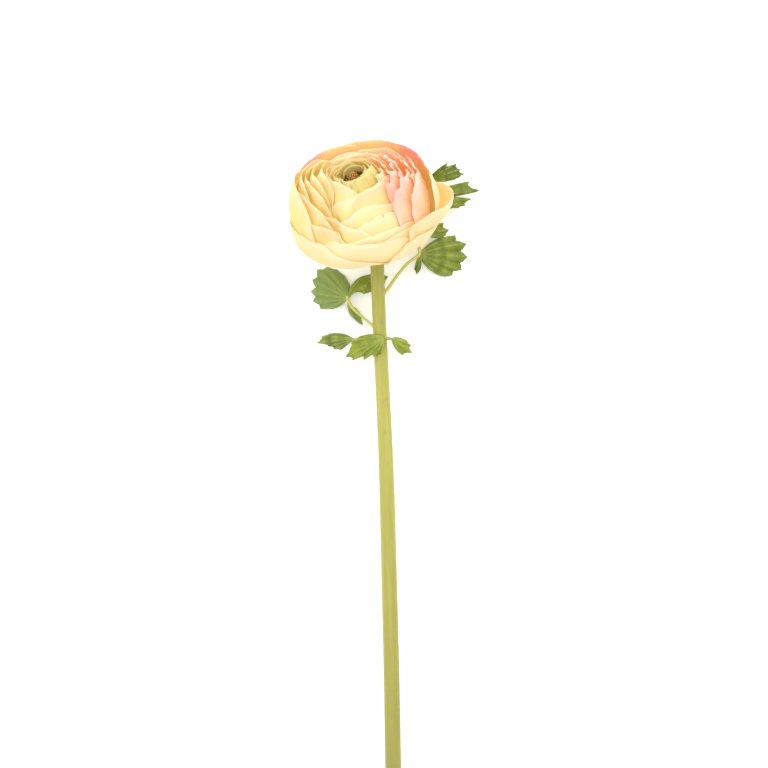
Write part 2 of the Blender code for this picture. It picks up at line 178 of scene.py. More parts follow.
class MeshMaker:
    """Gathers grids of points into one mesh, with the marks that the finishes read.

    Each vertex has two marks of three numbers: "blade", a place on the tissue in
    millimetres, and "tint", which says how it is coloured.
    """

    def __init__(self) -> None:
        """Start with nothing gathered."""
        self.points: list[np.ndarray] = []
        self.blade: list[np.ndarray] = []
        self.tint: list[np.ndarray] = []
        self.faces: list[tuple[int, ...]] = []
        self.slots: list[int] = []
        self.count = 0

    def grid(self, points: np.ndarray, blade: np.ndarray, tint: np.ndarray, slot: int = 0,
             flip: bool = False, round_: bool = False) -> np.ndarray:
        """Add a grid of rows and columns of points, joined by quads.

        Args:
            points: Rows by columns by 3, in millimetres.
            blade: The blade mark, of the same shape or one that spreads to it.
            tint: The tint mark, likewise.
            slot: Material slot of its faces.
            flip: Turn the faces over.
            round_: Join the last column to the first.

        Returns:
            The vertex numbers, rows by columns.
        """
        rows, cols = points.shape[:2]
        index = np.arange(rows * cols).reshape(rows, cols) + self.count
        self.count += rows * cols
        self.points.append(points.reshape(-1, 3))
        self.blade.append(np.broadcast_to(blade, points.shape).reshape(-1, 3))
        self.tint.append(np.broadcast_to(tint, points.shape).reshape(-1, 3))
        wide = np.concatenate([index, index[:, :1]], 1) if round_ else index
        quads = np.stack([wide[:-1, :-1], wide[:-1, 1:], wide[1:, 1:], wide[1:, :-1]], -1).reshape(-1, 4)
        self._add(quads[:, ::-1] if flip else quads, slot)
        return index

    def _add(self, quads: np.ndarray, slot: int) -> None:
        """Add faces that are already wound the right way."""
        self.faces.extend(map(tuple, quads.tolist()))
        self.slots.extend([slot] * len(quads))

    def band(self, first: np.ndarray, second: np.ndarray) -> None:
        """Join two closed loops of vertex numbers of the same length."""
        a, b = np.append(first, first[0]), np.append(second, second[0])
        self._add(np.stack([a[:-1], a[1:], b[1:], b[:-1]], -1), 0)

    def cap(self, loop: np.ndarray, slot: int = 0) -> None:
        """Close a loop of vertex numbers with one face."""
        self.faces.append(tuple(int(i) for i in loop))
        self.slots.append(slot)

    def sheet(self, points: np.ndarray, thickness: Any, blade: np.ndarray, tint: np.ndarray,
              inside: np.ndarray) -> None:
        """Add a thin closed sheet: two faces and an edge all round.

        Args:
            points: The sheet's middle, rows by columns by 3.
            thickness: Its thickness, a number or rows by columns.
            blade: The blade mark.
            tint: The tint mark of the outer face.
            inside: The tint mark of the inner face.
        """
        across = np.gradient(points, axis=1)
        along = np.gradient(points, axis=0)
        out = unit(np.cross(across, along)) * (np.broadcast_to(thickness, points.shape[:2]) / 2.0)[..., None]
        top = self.grid(points + out, blade, tint)
        low = self.grid(points - out, blade, inside, flip=True)
        rims = [np.concatenate([g[0, :], g[1:, -1], g[-1, -2::-1], g[-2:0:-1, 0]]) for g in (top, low)]
        self.band(rims[1], rims[0])

    def tube(self, path: np.ndarray, sides: int, slot: int = 0, ribs: int = 0, rib: float = 0.0,
             closed: bool = True) -> list[np.ndarray]:
        """Add a round stalk along a path.

        Args:
            path: Rows of x, y, z and radius.
            sides: Corners of its section.
            slot: Material slot of its faces.
            ribs: Number of ribs along it.
            rib: Height of the ribs.
            closed: Close both ends.

        Returns:
            The vertex numbers of its first and last ring.
        """
        centres, radii = path[:, :3], path[:, 3]
        ahead = unit(np.gradient(centres, axis=0))
        side = unit(np.cross(ahead, (0.0, 0.0, 1.0)))
        up = np.cross(side, ahead)
        angle = np.linspace(0.0, 2.0 * np.pi, sides, endpoint=False)
        swell = radii[:, None] + rib * np.cos(ribs * angle)[None, :]
        points = (centres[:, None, :] + side[:, None, :] * (swell * np.cos(angle))[..., None]
                  + up[:, None, :] * (swell * np.sin(angle))[..., None])
        run = np.append(0.0, np.cumsum(np.linalg.norm(np.diff(centres, axis=0), axis=1)))
        blade = np.stack(np.broadcast_arrays(radii[:, None] * np.cos(angle), run[:, None],
                                             radii[:, None] * np.sin(angle)), -1)
        index = self.grid(points, blade, np.zeros(3), slot, flip=True, round_=True)
        if closed:
            self.cap(index[0], slot)
            self.cap(index[-1][::-1], slot)
        return [index[0], index[-1]]

    def build(self, name: str, materials: list[bpy.types.Material]) -> bpy.types.Object:
        """Write the mesh and put its object in the scene.

        Args:
            name: The piece's name.
            materials: Its materials, in slot order.

        Returns:
            The object.
        """
        mesh = bpy.data.meshes.new(name)
        mesh.from_pydata((np.concatenate(self.points) * MM).tolist(), [], self.faces)
        for mark, rows in (("blade", self.blade), ("tint", self.tint)):
            layer = mesh.attributes.new(mark, "FLOAT_VECTOR", "POINT")
            layer.data.foreach_set("vector", np.concatenate(rows).astype(np.float32).ravel())
        for material in materials:
            mesh.materials.append(material)
        mesh.polygons.foreach_set("material_index", self.slots)
        mesh.shade_smooth()
        mesh.update()
        obj = bpy.data.objects.new(name, mesh)
        bpy.context.scene.collection.objects.link(obj)
        return obj


def show(obj: bpy.types.Object, slot: Slot, *nodes: str) -> bpy.types.Object:
    """Hang a piece on the flower's only body, in place of its CAD nodes.

    Args:
        obj: The piece.
        slot: The record's slot that its finish comes from; not used.
        nodes: The CAD nodes that it stands for.

    Returns:
        The piece.
    """
    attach(obj, "root")
    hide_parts(*nodes)
    log.info("%s stands for %s", obj.name, ", ".join(nodes))
    return obj


# ------------------------------------------------------------------ finishes

@dataclass(frozen=True)
class PetalTissue:
    """Ranunculus petal: thin, matt, faintly veined tissue that lets light through.

    The colour runs from the rim down to the claw. The outer face stays pale for
    long, the inner face soon turns warm, and a blush is laid over both. The warmth
    deeper down is partly the claw's own yellow and partly painted shade of the
    pockets between the petals; a weak emission is painted glow.
    """

    name: str
    outer: Stops              # colours of the outer face by depth below the rim; deep down partly the claw's yellow, partly painted shade
    inner: Stops              # and of the inner face, whose warmth deeper down is partly the claw's yellow, partly painted shade of the pockets
    blush: Stops = ((0.0, "#fae0da"), (0.15, "#f9d6cc"), (0.4, "#f7c8b4"), (1.0, "#f2b692"))
    rose: Stops = ((0.0, "#f29cb2"), (0.12, "#f5b2be"), (0.35, "#f7c8bc"), (1.0, "#f5c29c"))
    reach: float = 24.0       # depth at which the colours end, mm
    feather: float = 5.0      # how far streaks shift the colours up or down, mm
    let_through: float = 0.24  # share of light that passes through
    vein_gap: float = 1.4     # drawn twice as wide as the real veins, to show
    roughness: float = 0.6
    painted_glow: str = "#fff29a"     # painted glow: warm emission standing in for light let through by the petals beneath
    painted_glow_strength: float = 0.12

    def make(self) -> bpy.types.Material:
        """Build the material.

        Returns:
            The material.
        """
        material, tree = new_material(self.name)
        blade, tint = (add_node(tree, "Attribute", {"attribute_name": mark}).outputs["Vector"]
                       for mark in ("blade", "tint"))
        place, share = (add_node(tree, "SeparateXYZ", links={0: mark}).outputs for mark in (blade, tint))
        # Streaks run from claw to rim: 1.2 mm wide and about 12 mm long.
        stretched = add_node(tree, "VectorMath", {"operation": "MULTIPLY"}, {0: blade, 1: (0.8, 0.08, 0.05)})
        streak = add_node(tree, "TexNoise", links={"Vector": stretched, "Scale": 1.0, "Detail": 3.0})
        # Uneven pigment makes every boundary between two colours feathery.
        shifted = add_node(tree, "Math", {"operation": "MULTIPLY_ADD"},
                           {0: streak, 1: self.feather, 2: place["Z"]})
        start = self.feather / 2.0
        depth = add_node(tree, "MapRange", links={"Value": shifted, "From Min": start,
                                                  "From Max": start + self.reach})
        outer, inner, blush, rose = (add_node(tree, "ValToRGB", {"stops": stops}, {0: depth})
                                     for stops in (self.outer, self.inner, self.blush, self.rose))
        sides = add_node(tree, "Mix", COLOUR_MIX, {0: share["Z"], 6: outer, 7: inner})
        coral = add_node(tree, "Math", {"operation": "SUBTRACT"}, {0: share["X"], 1: 0.25})
        flush = add_node(tree, "Math", {"operation": "MULTIPLY_ADD", "use_clamp": True},
                         {0: streak, 1: 0.5, 2: coral})
        flushed = add_node(tree, "Mix", COLOUR_MIX, {0: flush, 6: sides, 7: blush})
        rosy = add_node(tree, "Mix", COLOUR_MIX, {0: share["Y"], 6: flushed, 7: rose})
        # Light and dark streaks, a few per cent either way.
        shade = add_node(tree, "MapRange", links={"Value": streak, "From Min": 0.25, "From Max": 0.75,
                                                  "To Min": 0.955, "To Max": 1.02})
        colour = add_node(tree, "Mix", {**COLOUR_MIX, "blend_type": "MULTIPLY"}, {0: 1.0, 6: rosy, 7: shade})
        # Veins run the length of the petal; the crepe between them is finer.
        turns = add_node(tree, "Math", {"operation": "MULTIPLY"},
                         {0: place["X"], 1: 2.0 * math.pi / self.vein_gap})
        lines = add_node(tree, "Math", {"operation": "SINE"}, {0: turns})
        crepe = add_node(tree, "TexNoise", links={"Vector": blade, "Scale": 0.9, "Detail": 4.0})
        relief = add_node(tree, "Math", {"operation": "MULTIPLY_ADD"}, {0: lines, 1: 0.12, 2: crepe})
        bump = add_node(tree, "Bump", links={"Height": relief, "Strength": 0.35, "Distance": 0.2 * MM})
        # A weak warm emission is painted glow: it stands in for light let through by the petals beneath and
        # lightens the gaps.
        skin = add_node(tree, "BsdfPrincipled", links={
            "Base Color": colour, "Normal": bump, "Roughness": self.roughness, "IOR": 1.4,
            "Sheen Weight": 0.08, "Sheen Roughness": 0.5,
            "Emission Color": linear(self.painted_glow), "Emission Strength": self.painted_glow_strength})
        through = add_node(tree, "BsdfTranslucent", links={"Color": colour, "Normal": bump})
        both = add_node(tree, "MixShader", links={0: self.let_through, 1: skin, 2: through})
        add_node(tree, "OutputMaterial", links={0: both})
        return material


@dataclass(frozen=True)
class LeafTissue:
    """Ranunculus leaf: waxy blade with sunken, paler veins and a duller underside."""

    name: str = "leaf_waxy_green"
    young: str = "#9cab34"
    dark_tone: str = "#55671a"
    under: str = "#8da556"
    vein: str = "#b5c06a"
    vein_width: float = 0.2   # half width of the main veins, mm
    side_gap: float = 2.3     # distance between side veins, mm
    wander: float = 1.6       # how far the main veins stray from straight lines, mm
    roughness: float = 0.42   # satin: wax breaks the light softly
    let_through: float = 0.2  # share of light that passes through

    def make(self) -> bpy.types.Material:
        """Build the material.

        Returns:
            The material.
        """
        material, tree = new_material(self.name)
        blade, tint = (add_node(tree, "Attribute", {"attribute_name": mark}).outputs["Vector"]
                       for mark in ("blade", "tint"))
        place, share = (add_node(tree, "SeparateXYZ", links={0: mark}).outputs for mark in (blade, tint))
        # Clouds of young and old green, about 5 mm across.
        blotch = add_node(tree, "TexNoise",
                          links={"Vector": blade, "Scale": 0.22, "Detail": 4.0, "Roughness": 0.6})
        tone = add_node(tree, "Math", {"operation": "SUBTRACT"}, {0: share["X"], 1: 0.8})
        ripe = add_node(tree, "Math", {"operation": "MULTIPLY_ADD", "use_clamp": True},
                        {0: blotch, 1: 1.6, 2: tone})
        green = add_node(tree, "Mix", COLOUR_MIX, {0: ripe, 6: linear(self.dark_tone), 7: linear(self.young)})
        face = add_node(tree, "Mix", COLOUR_MIX, {0: share["Z"], 6: green, 7: linear(self.under)})
        # X is the distance from the nearest main vein, so one threshold draws them all.
        drift = add_node(tree, "TexNoise", links={"Vector": blade, "Scale": 0.3, "Detail": 3.0})
        drifted = add_node(tree, "Math", {"operation": "MULTIPLY_ADD"},
                           {0: drift, 1: self.wander, 2: place["X"]})
        centred = add_node(tree, "Math", {"operation": "SUBTRACT"}, {0: drifted, 1: self.wander / 2.0})
        stray = add_node(tree, "Math", {"operation": "ABSOLUTE"}, {0: centred})
        main = add_node(tree, "MapRange", {"interpolation_type": "SMOOTHSTEP"},
                        {"Value": stray, "From Min": self.vein_width * 0.5, "From Max": self.vein_width * 1.8,
                         "To Min": 1.0, "To Max": 0.0})
        # Side veins leave the main vein at a slant and curve towards the tip.
        slant = add_node(tree, "Math", {"operation": "MULTIPLY_ADD"}, {0: stray, 1: -1.5, 2: place["Y"]})
        turns = add_node(tree, "Math", {"operation": "MULTIPLY"},
                         {0: slant, 1: 2.0 * math.pi / self.side_gap})
        wave = add_node(tree, "Math", {"operation": "COSINE"}, {0: turns})
        side = add_node(tree, "MapRange", links={"Value": wave, "From Min": 0.86, "From Max": 1.0,
                                                 "To Min": 0.0, "To Max": 0.4})
        # The net between them has meshes of about a millimetre.
        cells = add_node(tree, "TexVoronoi", {"feature": "DISTANCE_TO_EDGE"}, {"Vector": blade, "Scale": 0.9})
        net = add_node(tree, "MapRange", links={"Value": cells, "From Min": 0.0, "From Max": 0.16,
                                                "To Min": 0.16, "To Max": 0.0})
        thin = add_node(tree, "Math", {"operation": "MAXIMUM"}, {0: side, 1: net})
        veins = add_node(tree, "Math", {"operation": "MAXIMUM"}, {0: main, 1: thin})
        strength = add_node(tree, "Math", {"operation": "MULTIPLY"}, {0: veins, 1: 0.5})
        colour = add_node(tree, "Mix", COLOUR_MIX, {0: strength, 6: face, 7: linear(self.vein)})
        # The veins are sunken, so the blade cushions up between them.
        cushion = add_node(tree, "Math", {"operation": "MULTIPLY_ADD"}, {0: veins, 1: -1.0, 2: blotch})
        bump = add_node(tree, "Bump", links={"Height": cushion, "Strength": 0.5, "Distance": 0.35 * MM})
        skin = add_node(tree, "BsdfPrincipled", links={
            "Base Color": colour, "Normal": bump, "Roughness": self.roughness, "IOR": 1.45})
        through = add_node(tree, "BsdfTranslucent", links={"Color": colour, "Normal": bump})
        both = add_node(tree, "MixShader", links={0: self.let_through, 1: skin, 2: through})
        add_node(tree, "OutputMaterial", links={0: both})
        return material


@dataclass(frozen=True)
class StalkSkin:
    """Fresh green stalk: satin skin over long fibres, mottled lighter and darker."""

    name: str
    pale: str
    deep: str
    mark: str                 # colour of the few tan scuffs
    dark_tone: str = "#8b8640"      # colour a long stalk darkens to towards its cut end: painted shade where the light falls off
    ages: tuple[float, float] = (110.0, 330.0)  # where along it that painted shade begins and ends, mm
    fibre: float = 0.55       # distance between fibres, mm
    roughness: float = 0.48

    def make(self) -> bpy.types.Material:
        """Build the material.

        Returns:
            The material.
        """
        material, tree = new_material(self.name)
        blade = add_node(tree, "Attribute", {"attribute_name": "blade"}).outputs["Vector"]
        # The section keeps its scale and the length is pressed twentyfold: long fibres.
        pressed = add_node(tree, "VectorMath", {"operation": "MULTIPLY"}, {0: blade, 1: (1.0, 0.05, 1.0)})
        fibres = add_node(tree, "TexNoise",
                          links={"Vector": pressed, "Scale": 1.0 / self.fibre, "Detail": 3.0})
        clouds = add_node(tree, "TexNoise", links={"Vector": pressed, "Scale": 0.35, "Detail": 2.0})
        both = add_node(tree, "Math", {"operation": "MULTIPLY_ADD"}, {0: fibres, 1: 0.5, 2: clouds})
        level = add_node(tree, "MapRange", links={"Value": both, "From Min": 0.45, "From Max": 1.05})
        fresh = add_node(tree, "Mix", COLOUR_MIX, {0: level, 6: linear(self.deep), 7: linear(self.pale)})
        # Painted shade: far along a long stalk the colour darkens, where the light falls off towards the
        # stem's cut end.
        length = add_node(tree, "SeparateXYZ", links={0: blade}).outputs["Y"]
        dimming = add_node(tree, "MapRange", links={"Value": length, "From Min": self.ages[0],
                                                "From Max": self.ages[1], "To Max": 0.85})
        green = add_node(tree, "Mix", COLOUR_MIX, {0: dimming, 6: fresh, 7: linear(self.dark_tone)})
        spots = add_node(tree, "TexNoise",
                         links={"Vector": blade, "Scale": 0.12, "Detail": 5.0, "Roughness": 0.7})
        scuff = add_node(tree, "MapRange", links={"Value": spots, "From Min": 0.6, "From Max": 0.72,
                                                  "To Max": 0.55})
        colour = add_node(tree, "Mix", COLOUR_MIX, {0: scuff, 6: green, 7: linear(self.mark)})
        bump = add_node(tree, "Bump", links={"Height": fibres, "Strength": 0.4, "Distance": 0.25 * MM})
        skin = add_node(tree, "BsdfPrincipled", links={
            "Base Color": colour, "Normal": bump, "Roughness": self.roughness, "IOR": 1.42,
            "Subsurface Weight": 0.12, "Subsurface Radius": (1.2 * MM, 1.2 * MM, 0.4 * MM)})
        add_node(tree, "OutputMaterial", links={0: skin})
        return material


@dataclass(frozen=True)
class GrainySkin:
    """Small dry plant parts, such as carpels and anthers: matt and granular."""

    name: str
    low: str                  # colour in the hollows between the grains, darker: painted shade
    high: str                 # colour of the grains
    grain: float = 0.5        # size of the grains, mm
    roughness: float = 0.8

    def make(self) -> bpy.types.Material:
        """Build the material.

        Returns:
            The material.
        """
        material, tree = new_material(self.name)
        blade = add_node(tree, "Attribute", {"attribute_name": "blade"}).outputs["Vector"]
        grains = add_node(tree, "TexVoronoi", links={"Vector": blade, "Scale": 1.0 / self.grain})
        mottle = add_node(tree, "TexNoise", links={"Vector": blade, "Scale": 0.5, "Detail": 3.0})
        # The hollows between the grains get the darker colour: painted shade.
        level = add_node(tree, "Math", {"operation": "MULTIPLY_ADD", "use_clamp": True},
                         {0: grains, 1: -0.5, 2: mottle})
        colour = add_node(tree, "ValToRGB", {"stops": ((0.1, self.low), (0.5, self.high))}, {0: level})
        bump = add_node(tree, "Bump", {"invert": True},
                        {"Height": grains, "Strength": 0.6, "Distance": 0.2 * MM})
        skin = add_node(tree, "BsdfPrincipled", links={
            "Base Color": colour, "Normal": bump, "Roughness": self.roughness, "IOR": 1.45})
        add_node(tree, "OutputMaterial", links={0: skin})
        return material


@dataclass(frozen=True)
class PaperSweep:
    """Matt white background paper, with the faint tooth of its fibres."""

    name: str = "paper_matt_white"
    colour: str = "#f7f7f5"
    roughness: float = 0.95
    lift: float = 0.28        # keeps the paper white where the flower takes light from it

    def make(self) -> bpy.types.Material:
        """Build the material.

        Returns:
            The material.
        """
        material, tree = new_material(self.name)
        where = add_node(tree, "TexCoord").outputs["Object"]
        fibres = add_node(tree, "TexNoise", links={"Vector": where, "Scale": 900.0, "Detail": 4.0})
        bump = add_node(tree, "Bump", links={"Height": fibres, "Strength": 0.1, "Distance": 0.1 * MM})
        skin = add_node(tree, "BsdfPrincipled", links={
            "Base Color": linear(self.colour), "Normal": bump, "Roughness": self.roughness,
            "Specular IOR Level": 0.1,
            "Emission Color": (1.0, 1.0, 1.0, 1.0), "Emission Strength": self.lift})
        add_node(tree, "OutputMaterial", links={0: skin})
        return material


# Most petals: cream outside, golden inside; the gold deep on the inner face is partly painted shade of the
# pockets.
CREAM_TISSUE = PetalTissue(
    "petal_tissue_cream",
    outer=((0.0, "#f7e2c0"), (0.2, "#f1dda8"), (0.5, "#e8d884"), (1.0, "#dfcf5c")),
    inner=((0.0, "#f8ebcf"), (0.1, "#f3e6b4"), (0.3, "#ebe08e"), (0.6, "#e4d86c"), (1.0, "#dacb4e")))
# The outer petals behind and on the right, whose inner faces show and are lit: they stay pale, with little of
# the painted pocket shade.
PALE_TISSUE = PetalTissue(
    "petal_tissue_pale",
    outer=CREAM_TISSUE.outer,
    inner=((0.0, "#f9f1e0"), (0.3, "#f4edd0"), (0.6, "#f0e8bc"), (1.0, "#eadf9a")))
# The ruffled petals on the right.
CORAL_TISSUE = PetalTissue(
    "petal_tissue_coral",
    outer=((0.0, "#f9e0d4"), (0.15, "#f8dac6"), (0.4, "#f6d0ae"), (1.0, "#f0c490")),
    inner=((0.0, "#f9dcd0"), (0.12, "#f8d0ba"), (0.35, "#f6c1a0"), (1.0, "#f1ae7e")))
# The youngest petals, still green at the rim; their inner faces turn brown deep down, which is painted shade
# inside the eye.
HEART_TISSUE = PetalTissue(
    "petal_tissue_heart",
    outer=((0.0, "#e6d896"), (0.25, "#e1ce7a"), (0.5, "#d8c25c"), (1.0, "#caad42")),
    inner=((0.0, "#ecdf9a"), (0.12, "#dcc476"), (0.35, "#c09648"), (1.0, "#866128")),
    blush=((0.0, "#f8d2bc"), (0.3, "#f3bca0"), (1.0, "#e8aa74")))


# ------------------------------------------------------------------ the head

@dataclass(frozen=True)
class Spray:
    """A patch of colour laid over the head, round its axis and through its layers."""

    azimuth: float            # of its middle, in degrees: 0 front, 90 right, 180 back
    spread: float             # how far it reaches round from there
    level: float              # of the petals that get the most of it
    depth: float              # how far it reaches into the levels beside that
    strength: float
    rose: bool = False        # pink rather than coral

    def at(self, azimuth: np.ndarray, level: float) -> np.ndarray:
        """How much of it lands on a petal of that level, by azimuth."""
        around = bell(apart(azimuth, self.azimuth), 0.0, self.spread)
        return self.strength * around * bell(level, self.level, self.depth)


@dataclass(frozen=True)
class HeadFrame:
    """Where the head is, and the nested bowls that its petals follow.

    A bowl's level is 0 at the heart and 1 outside. Beta runs from the foot of a
    bowl (0) over its widest circle (90) towards its mouth.
    """

    centre: tuple[float, float, float] = (-11.1, 166.7, 31.5)
    tilt: float = 50.0        # how far its axis leans from upright, away from the stem
    lean: float = 24.0        # and how far it then turns to the left
    mid: float = 24.0         # height along the axis that lies at the centre
    radii: tuple[float, float] = (8.5, 38.1)    # of the heart's bowl and of the outermost
    floors: tuple[float, float] = (21.5, 0.3)   # heights of their lowest points
    waists: tuple[float, float] = (29.5, 22.5)  # heights of their widest circles
    cups: tuple[float, float, float] = (23.0, 33.0, -16.0)  # rise above those, by powers of the level
    swells: tuple[tuple[float, float, float], ...] = (      # azimuth, spread and height of each
        (54.0, 34.0, 6.5), (266.0, 38.0, 4.2), (116.0, 22.0, 3.2), (8.0, 22.0, 2.4))
    drift: float = 2.4        # how far the heart sits to the right of the axis
    receptacle_mid: float = 11.3
    receptacle_half: tuple[float, float] = (4.4, 10.3)
    receptacle_gap: float = 0.45  # clear space between it and the petals' feet
    least_ring: float = 2.6   # radius of the narrowest ring of feet
    soft_ground: float = 5.0  # what lies lower than this is pressed flatter
    sag: float = 0.75         # how far under the table the lowest petals would reach unpressed
    keep: float = 0.62        # share of their depth that those keep
    clear: float = 0.2        # least height over the table

    def bowl(self, level: Any, beta: Any) -> tuple[np.ndarray, np.ndarray]:
        """Radius and height of a bowl's profile; beta is in radians here.

        Args:
            level: The bowl's level.
            beta: Angle along its profile, in radians.

        Returns:
            The radius and the height.
        """
        radius = (self.radii[0] + (self.radii[1] - self.radii[0]) * level) * np.sin(beta)
        floor = self.floors[0] + (self.floors[1] - self.floors[0]) * level
        waist = self.waists[0] + (self.waists[1] - self.waists[0]) * level
        cup = self.cups[0] + self.cups[1] * level + self.cups[2] * level * level
        c = np.cos(beta)
        return radius, np.where(c > 0.0, waist - (waist - floor) * c, waist - cup * c)

    def fuller(self, level: Any, azimuth: Any) -> Any:
        """How far a bowl swells out at an azimuth: the outer ones do so most, in four places."""
        return level * sum(high * bell(apart(azimuth, at), 0.0, wide) for at, wide, high in self.swells)

    def moved_out(self, level: Any, beta: Any, out: Any) -> tuple[np.ndarray, np.ndarray]:
        """The same point moved outwards, square to the bowl.

        Args:
            level: The bowl's level.
            beta: Angle along its profile, in radians.
            out: How far to move.

        Returns:
            The radius and the height.
        """
        radius, height = self.bowl(level, beta)
        r1, h1 = self.bowl(level, beta - 0.01)
        r2, h2 = self.bowl(level, beta + 0.01)
        length = np.hypot(r2 - r1, h2 - h1)
        return radius + out * (h2 - h1) / length, height - out * (r2 - r1) / length

    def foot(self, level: float) -> float:
        """The angle, in radians, at which a petal's foot clears the receptacle.

        Args:
            level: The petal's level.

        Returns:
            The angle.
        """
        for degrees in range(3, 81):
            radius, height = self.bowl(level, math.radians(degrees))
            q = (height - self.receptacle_mid) / self.receptacle_half[1]
            neck = self.receptacle_half[0] * math.sqrt(max(0.0, 1.0 - q * q))
            if radius > max(neck + self.receptacle_gap + self.aside(level), self.least_ring):
                break
        return math.radians(degrees)

    def axes(self) -> np.ndarray:
        """The head's own right, back and up, as columns.

        Returns:
            A matrix of three by three.
        """
        a, b = math.radians(-self.tilt), math.radians(self.lean)
        turn = np.array([[math.cos(b), -math.sin(b), 0.0], [math.sin(b), math.cos(b), 0.0], [0.0, 0.0, 1.0]])
        tip = np.array([[1.0, 0.0, 0.0], [0.0, math.cos(a), -math.sin(a)], [0.0, math.sin(a), math.cos(a)]])
        return turn @ tip

    def aside(self, level: Any) -> Any:
        """How far a bowl of that level is shifted to the right."""
        return self.drift * (1.0 - ease(level / 0.7))

    def place(self, radius: Any, azimuth: Any, height: Any, press: bool = True,
              side: Any = 0.0) -> np.ndarray:
        """Put points of the head where they lie.

        Args:
            radius: Distance from the head's axis.
            azimuth: Angle round it in degrees: 0 front, 90 right, 180 back.
            height: Height along it, from the flower's base.
            press: Press what meets the table flatter.
            side: Shift to the right.

        Returns:
            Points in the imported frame, in millimetres.
        """
        turn = np.radians(azimuth)
        local = np.stack(np.broadcast_arrays(radius * np.sin(turn) + side, -radius * np.cos(turn),
                                             height - self.mid), -1)
        points = local @ self.axes().T + np.array(self.centre)
        if press:
            keep, top, whole = self.keep, self.soft_ground, self.soft_ground + self.sag
            bend = (1.0 - keep) / (2.0 * whole)
            deep = np.maximum(points[..., 2] + self.sag, 0.0)
            reach = keep * whole + bend * whole ** 2
            low = np.maximum((keep * deep + bend * deep * deep) * top / reach, self.clear)
            points[..., 2] = np.where(points[..., 2] < top, low, points[..., 2])
        return points


HEAD = HeadFrame()


class Pile:
    """How far out the petals laid so far reach, by azimuth and beta, as levels."""

    STEP = 2.0                # degrees between its points
    EMPTY = -0.02             # level where no petal lies yet

    def __init__(self) -> None:
        """Start with nothing laid."""
        self.azimuths = np.arange(0.0, 360.0, self.STEP)
        self.betas = np.arange(0.0, 150.0, self.STEP)
        self.level = np.full((len(self.betas), len(self.azimuths)), self.EMPTY)
        self.smooth = self.level.copy()

    def add(self, inside: np.ndarray, level: np.ndarray) -> None:
        """Lay one more petal on the pile.

        Args:
            inside: Where it is, betas by azimuths.
            level: Its level there.
        """
        self.level = np.where(inside, np.maximum(self.level, level), self.level)
        # A petal bridges the small steps under it, so the pile is widened and then smoothed.
        wide = self.level
        for axis in (0, 1):
            wide = np.maximum(wide, np.maximum(self.shift(wide, 1, axis), self.shift(wide, -1, axis)))
        for axis in (0, 1, 0, 1):
            wide = 0.5 * wide + 0.25 * (self.shift(wide, 1, axis) + self.shift(wide, -1, axis))
        self.smooth = np.maximum(wide, self.level)

    def shift(self, values: np.ndarray, by: int, axis: int) -> np.ndarray:
        """The values one step along, closed round the azimuths and held at the ends of beta.

        Args:
            values: Betas by azimuths.
            by: 1 for a step up, -1 for a step down.
            axis: 0 for beta, 1 for azimuth.

        Returns:
            The shifted values.
        """
        if axis == 1:
            return np.roll(values, by, axis=1)
        return np.concatenate([values[:1], values[:-1]] if by > 0 else [values[1:], values[-1:]])

    def under(self, azimuth: np.ndarray, beta: np.ndarray) -> np.ndarray:
        """The pile's level under points given by azimuth and beta in degrees.

        Args:
            azimuth: Azimuths of the points.
            beta: Their betas.

        Returns:
            The level under each point.
        """
        a = (azimuth % 360.0) / self.STEP
        b = np.clip(beta / self.STEP, 0.0, len(self.betas) - 1.001)
        i, j = np.floor(b).astype(int), np.floor(a).astype(int)
        s, t = b - i, a - j
        n = len(self.azimuths)
        rows = self.smooth
        return ((rows[i, j % n] * (1 - t) + rows[i, (j + 1) % n] * t) * (1 - s)
                + (rows[i + 1, j % n] * (1 - t) + rows[i + 1, (j + 1) % n] * t) * s)


